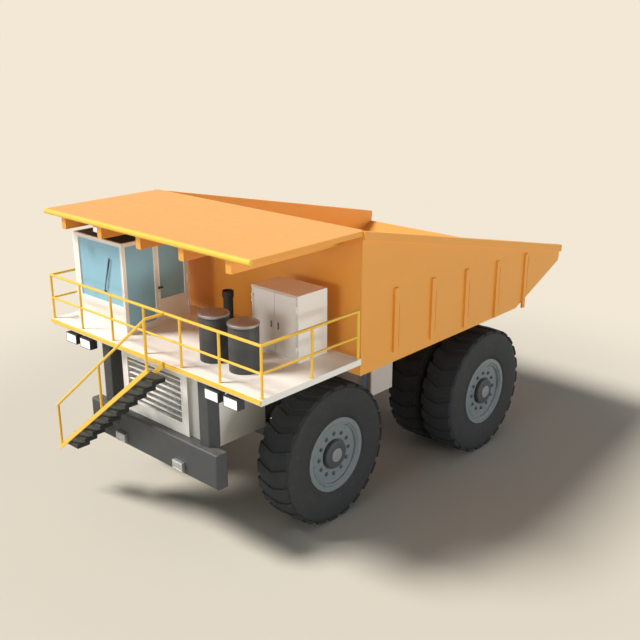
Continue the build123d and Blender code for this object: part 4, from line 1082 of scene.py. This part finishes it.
class DUMPTRUCK_OT_cab(bpy.types.Operator):
    """Cab roof, window beads, seat, dash, wiper and door fittings"""
    bl_idname = "dump_truck.cab"
    bl_label = "Cab"

    def execute(self, context):
        self.roof()
        self.beads(context.scene.truck_sizes.bead)
        self.wiper()
        self.door_fittings()
        self.inside()
        return {"FINISHED"}

    def roof(self):
        # Dark cover over the roof, with a shallow pressed panel in it
        roof = plate_copy("cab_roof")
        open_mesh(roof)
        pick_faces(roof, lambda middle, normal: normal.z > 0.9)
        bpy.ops.mesh.inset(thickness=0.12)
        bpy.ops.mesh.inset(thickness=0.02, depth=-0.014)
        close_mesh()
        round_edges(roof, 0.006)
        stand_in(roof, "cab_roof_cover", "cab_roof", "roof_enamel")

    def beads(self, width):
        half = width / 2
        top = WINDOW_TOP + half
        foot = WINDOW_FOOT - half
        frames = [add_frame(
            (WINDSCREEN_X[0] - half, CAB_FRONT - BEAD_PROUD, foot),
            (WINDSCREEN_X[1] + half, CAB_FRONT + BEAD_DEEP, top), 1, width, 0.02,
        )]
        for x, out in ((CAB_LEFT, -1), (CAB_RIGHT, 1)):
            low_x, high_x = sorted((x + out * BEAD_PROUD, x - out * BEAD_DEEP))
            frames.append(add_frame(
                (low_x, FRONT_PANE_Y[0] - half, FRONT_PANE_FOOT - half),
                (high_x, FRONT_PANE_Y[1] + half, top), 0, width, 0.02,
            ))
        frames.append(add_frame(
            (CAB_LEFT - BEAD_PROUD, REAR_PANE_Y[0] - half, foot),
            (CAB_LEFT + BEAD_DEEP, REAR_PANE_Y[1] + half, top), 0, width, 0.02,
        ))
        keep(joined(frames), "cab_beads", "chassis", "cream_paint", "cream_enamel")
        door = add_frame(
            (CAB_RIGHT - BEAD_DEEP, DOOR_PANE_Y[0] - half, foot),
            (CAB_RIGHT + BEAD_PROUD, DOOR_PANE_Y[1] + half, DOOR_PANE_TOP + half), 0, width, 0.02,
        )
        keep(door, "door_bead", "cab_door", "cream_paint", "cream_enamel")

    def wiper(self):
        arm = plate_copy("wiper")
        smooth(arm, 40)
        pieces = [arm]
        # Rubber blade against the glass, and the thin spine that presses it there
        for off, radius in ((0.004, 0.010), (0.014, 0.007)):
            y = CAB_FRONT - off
            foot, tip = (WIPER_FOOT[0], y, WIPER_FOOT[1]), (WIPER_TIP[0], y, WIPER_TIP[1])
            bar = add_bar(foot, tip, radius, 8)
            round_edges(bar, 0.003)
            pieces.append(bar)
        stand_in(joined(pieces), "wiper_arm", "wiper", "seal_rubber")

    def door_fittings(self):
        # Dark lever that stands off the door's front frame on one foot
        lever = add_box((CAB_RIGHT, -4.3625, 5.283), (CAB_RIGHT + 0.031, -4.2300, 5.315))
        rose = add_box((CAB_RIGHT, -4.370, 5.265), (CAB_RIGHT + 0.008, -4.322, 5.333))
        lock = add_bar((CAB_RIGHT, -4.345, 5.225), (CAB_RIGHT + 0.012, -4.345, 5.225), 0.012, 16)
        for piece in (lever, rose, lock):
            round_edges(piece, 0.006)
        keep(joined([lever, rose, lock]), "door_lever", "cab_door", "interior", "dash_plastic")

    def inside(self):
        dash = plate_copy("cab_interior")
        # The solid seat goes: a padded one takes its place
        open_mesh(dash, "VERT")
        pick_points(dash, lambda place: place.y > SEAT_FRONT_Y)
        bpy.ops.mesh.delete(type="VERT")
        close_mesh()
        round_edges(dash, 0.006, 2, 50)
        stand_in(dash, "cab_dash", "cab_interior", "dash_plastic")
        self.seat()

    def seat(self):
        rows = [
            ("seat_cushion", (-2.505, -4.625, 4.865), (-1.996, -4.150, 4.970)),
            ("seat_back", (-2.505, -4.220, 4.945), (-1.996, -4.125, 5.560)),
        ]
        for name, low, high in rows:
            pad = stuffed(low, high, 0.012)
            keep(pad, name, "chassis", "interior", "seat_cloth")
        self.seat_post()

    def seat_post(self):
        # Foot, rubber bellows over the seat's spring, and the pan that carries the cushion
        pieces = [add_box((-2.375, -4.500, 4.420), (-2.126, -4.248, 4.450))]
        for fold in range(FOLD_COUNT):
            low = FOLD_FOOT + FOLD_PITCH * fold
            pieces.append(add_box((-2.372, -4.497, low), (-2.129, -4.251, low + FOLD_HEIGHT)))
        pieces.append(add_box((-2.495, -4.610, 4.840), (-2.006, -4.130, 4.862)))
        for piece in pieces:
            round_edges(piece, 0.010)
        keep(joined(pieces), "seat_post", "chassis", "interior", "dash_plastic")


def blow_out(pad, frames):
    """Let cloth under pressure settle for some frames, and keep its shape."""
    only(pad)
    cloth = pad.modifiers.new("Cloth", "CLOTH")
    cloth.settings.use_pressure = True
    cloth.settings.uniform_pressure_force = 4.0
    cloth.settings.effector_weights.gravity = 0.0
    for step in range(1, frames + 1):
        bpy.context.scene.frame_set(step)
    bpy.ops.object.modifier_apply(modifier=cloth.name)
    bpy.context.scene.frame_set(1)


def stuffed(low, high, reach):
    """Foam pad in a sewn cover: a box blown out by cloth, no point of it by more than a reach."""
    pad = add_box(low, high)
    open_mesh(pad, "EDGE", "SELECT")
    bpy.ops.mesh.subdivide(number_cuts=15)
    close_mesh()
    round_edges(pad, 0.010)
    flat = [point.co.copy() for point in pad.data.vertices]
    blow_out(pad, 20)
    for point, start in zip(pad.data.vertices, flat):
        move = point.co - start
        if move.length > reach:
            point.co = start + move.normalized() * reach
    smooth(pad, 60)
    return pad


# Grille

class DUMPTRUCK_OT_grille(bpy.types.Operator):
    """Rounded slats, core fins and the frame round the grille"""
    bl_idname = "dump_truck.grille"
    bl_label = "Grille"

    def execute(self, context):
        slats = plate_copy("grille_slats")
        self.slim(slats, SLAT_SHARE)
        round_edges(slats, 0.008, 3)
        stand_in(slats, "grille_louvres", "grille_slats", "cream_enamel")
        surround = add_frame(*GRILLE_FRAME, 1, 0.034, 0.017)
        keep(surround, "grille_frame", "chassis", "cream_paint", "cream_enamel")
        self.core()
        return {"FINISHED"}

    def slim(self, slats, share):
        # The louvres are thin folded sheet: each solid is drawn in about its own middle
        low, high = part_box("grille_slats")
        first = low.z + SLAT_HEIGHT / 2
        pitch = (high.z - low.z - SLAT_HEIGHT) / (SLAT_COUNT - 1)
        for point in slats.data.vertices:
            middle = first + pitch * round((point.co.z - first) / pitch)
            point.co.z = middle + (point.co.z - middle) * share

    def core(self):
        core = plate_copy("radiator_core")
        round_edges(core, 0.01)
        low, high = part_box("radiator_core")
        first = low.x + FIN_MARGIN
        tube = add_box(
            (first, low.y - 0.014, low.z + FIN_MARGIN), (first + 0.015, low.y, high.z - FIN_MARGIN),
        )
        round_edges(tube, 0.003)
        repeated(tube, int((high.x - low.x - 2 * FIN_MARGIN) / FIN_PITCH), (FIN_PITCH, 0.0, 0.0))
        stand_in(joined([tube, core]), "core_fins", "radiator_core", "fin_black")


# Lamps

class DUMPTRUCK_OT_lamps(bpy.types.Operator):
    """Headlamps, bumper lamps and the roof lamp"""
    bl_idname = "dump_truck.lamps"
    bl_label = "Lamps"

    def execute(self, context):
        boxes = plate_copy("lamp_boxes")
        round_long_edges(boxes, 0.008, 0.06)
        stand_in(boxes, "lamp_cases", "lamp_boxes", "roof_enamel")
        self.lenses()
        self.bumper_lamps()
        return {"FINISHED"}

    def lenses(self):
        lenses = []
        for x in LAMP_X:
            lenses.append(crowned_lens((x - 0.203, -5.842, 3.940), (x + 0.203, -5.800, 4.162)))
        lenses.append(crowned_lens((-2.3475, -5.308, 6.653), (-2.1535, -5.270, 6.782)))
        stand_in(joined(lenses), "lamp_covers", "lamp_lenses", "lamp_lens")

    def bumper_lamps(self):
        pieces = []
        for side in (-1, 1):
            x = side * BUMPER_LAMP_X
            case = add_box((x - 0.17, -5.884, 1.925), (x + 0.17, -5.795, 2.135))
            open_mesh(case)
            pick_faces(case, lambda middle, normal: normal.y < -0.9)
            bpy.ops.mesh.inset(thickness=0.022)
            bpy.ops.mesh.inset(thickness=0.006, depth=-0.018)
            close_mesh()
            round_edges(case, 0.006)
            coat(case, "lamp_alloy")
            cover = crowned_lens((x - 0.143, -5.882, 1.952), (x + 0.143, -5.866, 2.108))
            coat(cover, "lamp_alloy")
            pieces.extend([case, cover])
        stand_in(joined(pieces), "bumper_lamp_cases", "bumper_lamps")


def crowned_lens(low, high):
    """A lens that bulges a little towards the front, with rounded edges."""
    piece = add_box(low, high)
    open_mesh(piece)
    pick_faces(piece, lambda middle, normal: normal.y < -0.9)
    bpy.ops.mesh.inset(thickness=0.03)
    bpy.ops.transform.translate(value=(0.0, -0.004, 0.0))
    close_mesh()
    round_edges(piece, 0.008, 3, 20)
    return piece


# Deck fittings

# Outlines of the round pieces on the deck, from the foot up: height, radius
CAN_OUTLINE = [
    (4.36, 0.0), (4.36, 0.324), (4.366, 0.327), (5.352, 0.327), (5.365, 0.320), (5.365, 0.0),
]

LID_OUTLINE = [
    (5.362, 0.0), (5.362, 0.338), (5.366, 0.343), (5.404, 0.343), (5.414, 0.338), (5.421, 0.326),
    (5.430, 0.290), (5.440, 0.220), (5.4475, 0.120), (5.4495, 0.040), (5.4495, 0.0),
]

STACK_OUTLINE = [
    (4.36, 0.0), (4.36, 0.15), (4.385, 0.15), (4.392, 0.118), (4.40, 0.115), (5.16, 0.115),
    (5.168, 0.122), (5.19, 0.122), (5.198, 0.130), (5.205, 0.1355), (5.335, 0.1355), (5.3495, 0.124),
    (5.3495, 0.105), (5.30, 0.100), (5.30, 0.0),
]


class DUMPTRUCK_OT_deck(bpy.types.Operator):
    """Filter cans, lids, stack, drip rail, guard rail and its feet"""
    bl_idname = "dump_truck.deck"
    bl_label = "Deck fittings"

    def execute(self, context):
        self.cans()
        self.stack()
        self.drip_rail()
        self.rail()
        self.rail_feet()
        return {"FINISHED"}

    def cans(self):
        rows = [
            (CAN_OUTLINE, 35, "can_shells", "chassis_enamel", "filter_cans"),
            (LID_OUTLINE, 25, "can_covers", "spun_aluminium", "filter_lids"),
        ]
        for outline, degrees, name, coating, node in rows:
            pieces = []
            for x in CAN_X:
                piece = turned(outline, (x, CAN_Y, 0.0), 2, 64)
                smooth(piece, degrees)
                pieces.append(piece)
            stand_in(joined(pieces), name, node, coating)

    def stack(self):
        stack = turned(STACK_OUTLINE, STACK_PLACE, 2, 48)
        smooth(stack, 35)
        stand_in(stack, "exhaust_stack", "stack_pipe", "roof_enamel")

    def drip_rail(self):
        # Thin folded strip over the cabinet's doors
        drip = add_box(*DRIP_RAIL)
        round_edges(drip, 0.005)
        keep(drip, "cabinet_drip_rail", "chassis", "cream_paint", "cream_enamel")

    def rail(self):
        # Paint builds up on the tubes; the kick bar is drawn as the flat bar that shows
        rail = plate_copy("guard_rail")
        fuller(rail, 0.005, lambda middle, normal: middle.z > DECK_TOP + 0.004)
        for point in rail.data.vertices:
            if point.co.z < DECK_TOP - 0.06:
                point.co.z += KICK_TRIM
        smooth(rail, 40)
        stand_in(rail, "deck_rail", "guard_rail", "yellow_enamel")

    def rail_feet(self):
        # Small welded foot under each post of the guard rail
        bay = 2 * RAIL_X / RAIL_BAYS
        places = [(-RAIL_X + bay * i, RAIL_FRONT_Y) for i in range(RAIL_BAYS + 1)]
        places.extend([(side * RAIL_X, y) for side in (-1, 1) for y in (RAIL_POST_Y, RAIL_REAR_Y)])
        feet = []
        for x, y in places:
            x = max(-FOOT_X_LIMIT, min(FOOT_X_LIMIT, x))
            foot = add_bar((x, y, DECK_TOP), (x, y, DECK_TOP + 0.010), FOOT_RADIUS, 16)
            round_edges(foot, 0.003, 1)
            feet.append(foot)
        keep(joined(feet), "rail_feet", "chassis", "yellow_paint", "yellow_enamel")


# Stair

class DUMPTRUCK_OT_stair(bpy.types.Operator):
    """Stair treads and their side rails"""
    bl_idname = "dump_truck.stair"
    bl_label = "Stair"

    def execute(self, context):
        rails = plate_copy("stair_rails")
        fuller(rails, 0.004, lambda middle, normal: True)
        round_long_edges(rails, 0.006, 0.3)
        stand_in(rails, "stair_side_rails", "stair_rails", "yellow_enamel")
        treads = plate_copy("stair_treads")
        round_edges(treads, 0.016, 3)
        stand_in(treads, "stair_steps", "stair_treads", "step_enamel")
        return {"FINISHED"}


# Body fittings

class DUMPTRUCK_OT_body(bpy.types.Operator):
    """Welds of the tipping body's ribs, and the sight strip and straps of the tanks"""
    bl_idname = "dump_truck.body"
    bl_label = "Body fittings"

    def execute(self, context):
        self.welds()
        self.tank_fittings()
        return {"FINISHED"}

    def welds(self):
        # A thin weld runs up both edges of each rib
        welds = []
        for side in (-1, 1):
            x = side * (BODY_HALF + 0.002)
            for i in range(RIB_COUNT):
                middle = BODY_FRONT + RIB_FIRST + RIB_PITCH * i
                for y in (middle - RIB_EDGE, middle + RIB_EDGE):
                    low = (x, y, BODY_BOTTOM + WELD_LOW)
                    high = (x, y, BODY_BOTTOM + WELD_HIGH)
                    welds.append(add_bar(low, high, WELD_RADIUS, 6))
        piece = joined(welds)
        smooth(piece, 60)
        keep(piece, "rib_welds", "dump_body", "orange_paint", "orange_enamel")

    def tank_fittings(self):
        # The sight strip's faint glow is painted light: it is no lamp
        gauge = plate_copy("tank_gauge")
        round_edges(gauge, 0.004)
        stand_in(gauge, "gauge_strip", "tank_gauge", "gauge_acrylic")
        straps = []
        for side in (-1, 1):
            for x in STRAP_X:
                low_x, high_x = sorted((side * x, side * (x + STRAP_WIDTH)))
                strap = add_box((low_x, STRAP_Y[0], STRAP_Z[0]), (high_x, STRAP_Y[1], STRAP_Z[1]))
                round_edges(strap, 0.003)
                straps.append(strap)
        keep(joined(straps), "tank_straps", "chassis", "cream_paint", "tank_enamel")


OPERATORS = [
    DUMPTRUCK_OT_stage,
    DUMPTRUCK_OT_plates,
    DUMPTRUCK_OT_tyres,
    DUMPTRUCK_OT_rims,
    DUMPTRUCK_OT_cab,
    DUMPTRUCK_OT_grille,
    DUMPTRUCK_OT_lamps,
    DUMPTRUCK_OT_deck,
    DUMPTRUCK_OT_stair,
    DUMPTRUCK_OT_body,
]


class DUMPTRUCK_PT_panel(bpy.types.Panel):
    """Colours, sizes and steps of the truck"""
    bl_idname = "DUMPTRUCK_PT_panel"
    bl_label = "Dump Truck"
    bl_space_type = "VIEW_3D"
    bl_region_type = "UI"
    bl_category = "Dump Truck"

    def draw(self, context):
        layout = self.layout
        for group in (context.scene.truck_colours, context.scene.truck_sizes):
            for name in group.__annotations__:
                layout.prop(group, name)
        for step in OPERATORS:
            layout.operator(step.bl_idname)


CLASSES = [TruckColours, TruckSizes] + OPERATORS + [DUMPTRUCK_PT_panel]


def register():
    for item in CLASSES:
        bpy.utils.register_class(item)
    bpy.types.Scene.truck_colours = PointerProperty(type=TruckColours)
    bpy.types.Scene.truck_sizes = PointerProperty(type=TruckSizes)


def unregister():
    del bpy.types.Scene.truck_sizes
    del bpy.types.Scene.truck_colours
    for item in reversed(CLASSES):
        bpy.utils.unregister_class(item)


def main():
    register()
    bpy.ops.dump_truck.stage()
    bpy.ops.dump_truck.plates()
    bpy.ops.dump_truck.tyres()
    bpy.ops.dump_truck.rims()
    bpy.ops.dump_truck.cab()
    bpy.ops.dump_truck.grille()
    bpy.ops.dump_truck.lamps()
    bpy.ops.dump_truck.deck()
    bpy.ops.dump_truck.stair()
    bpy.ops.dump_truck.body()


if __name__ == "__main__":
    main()
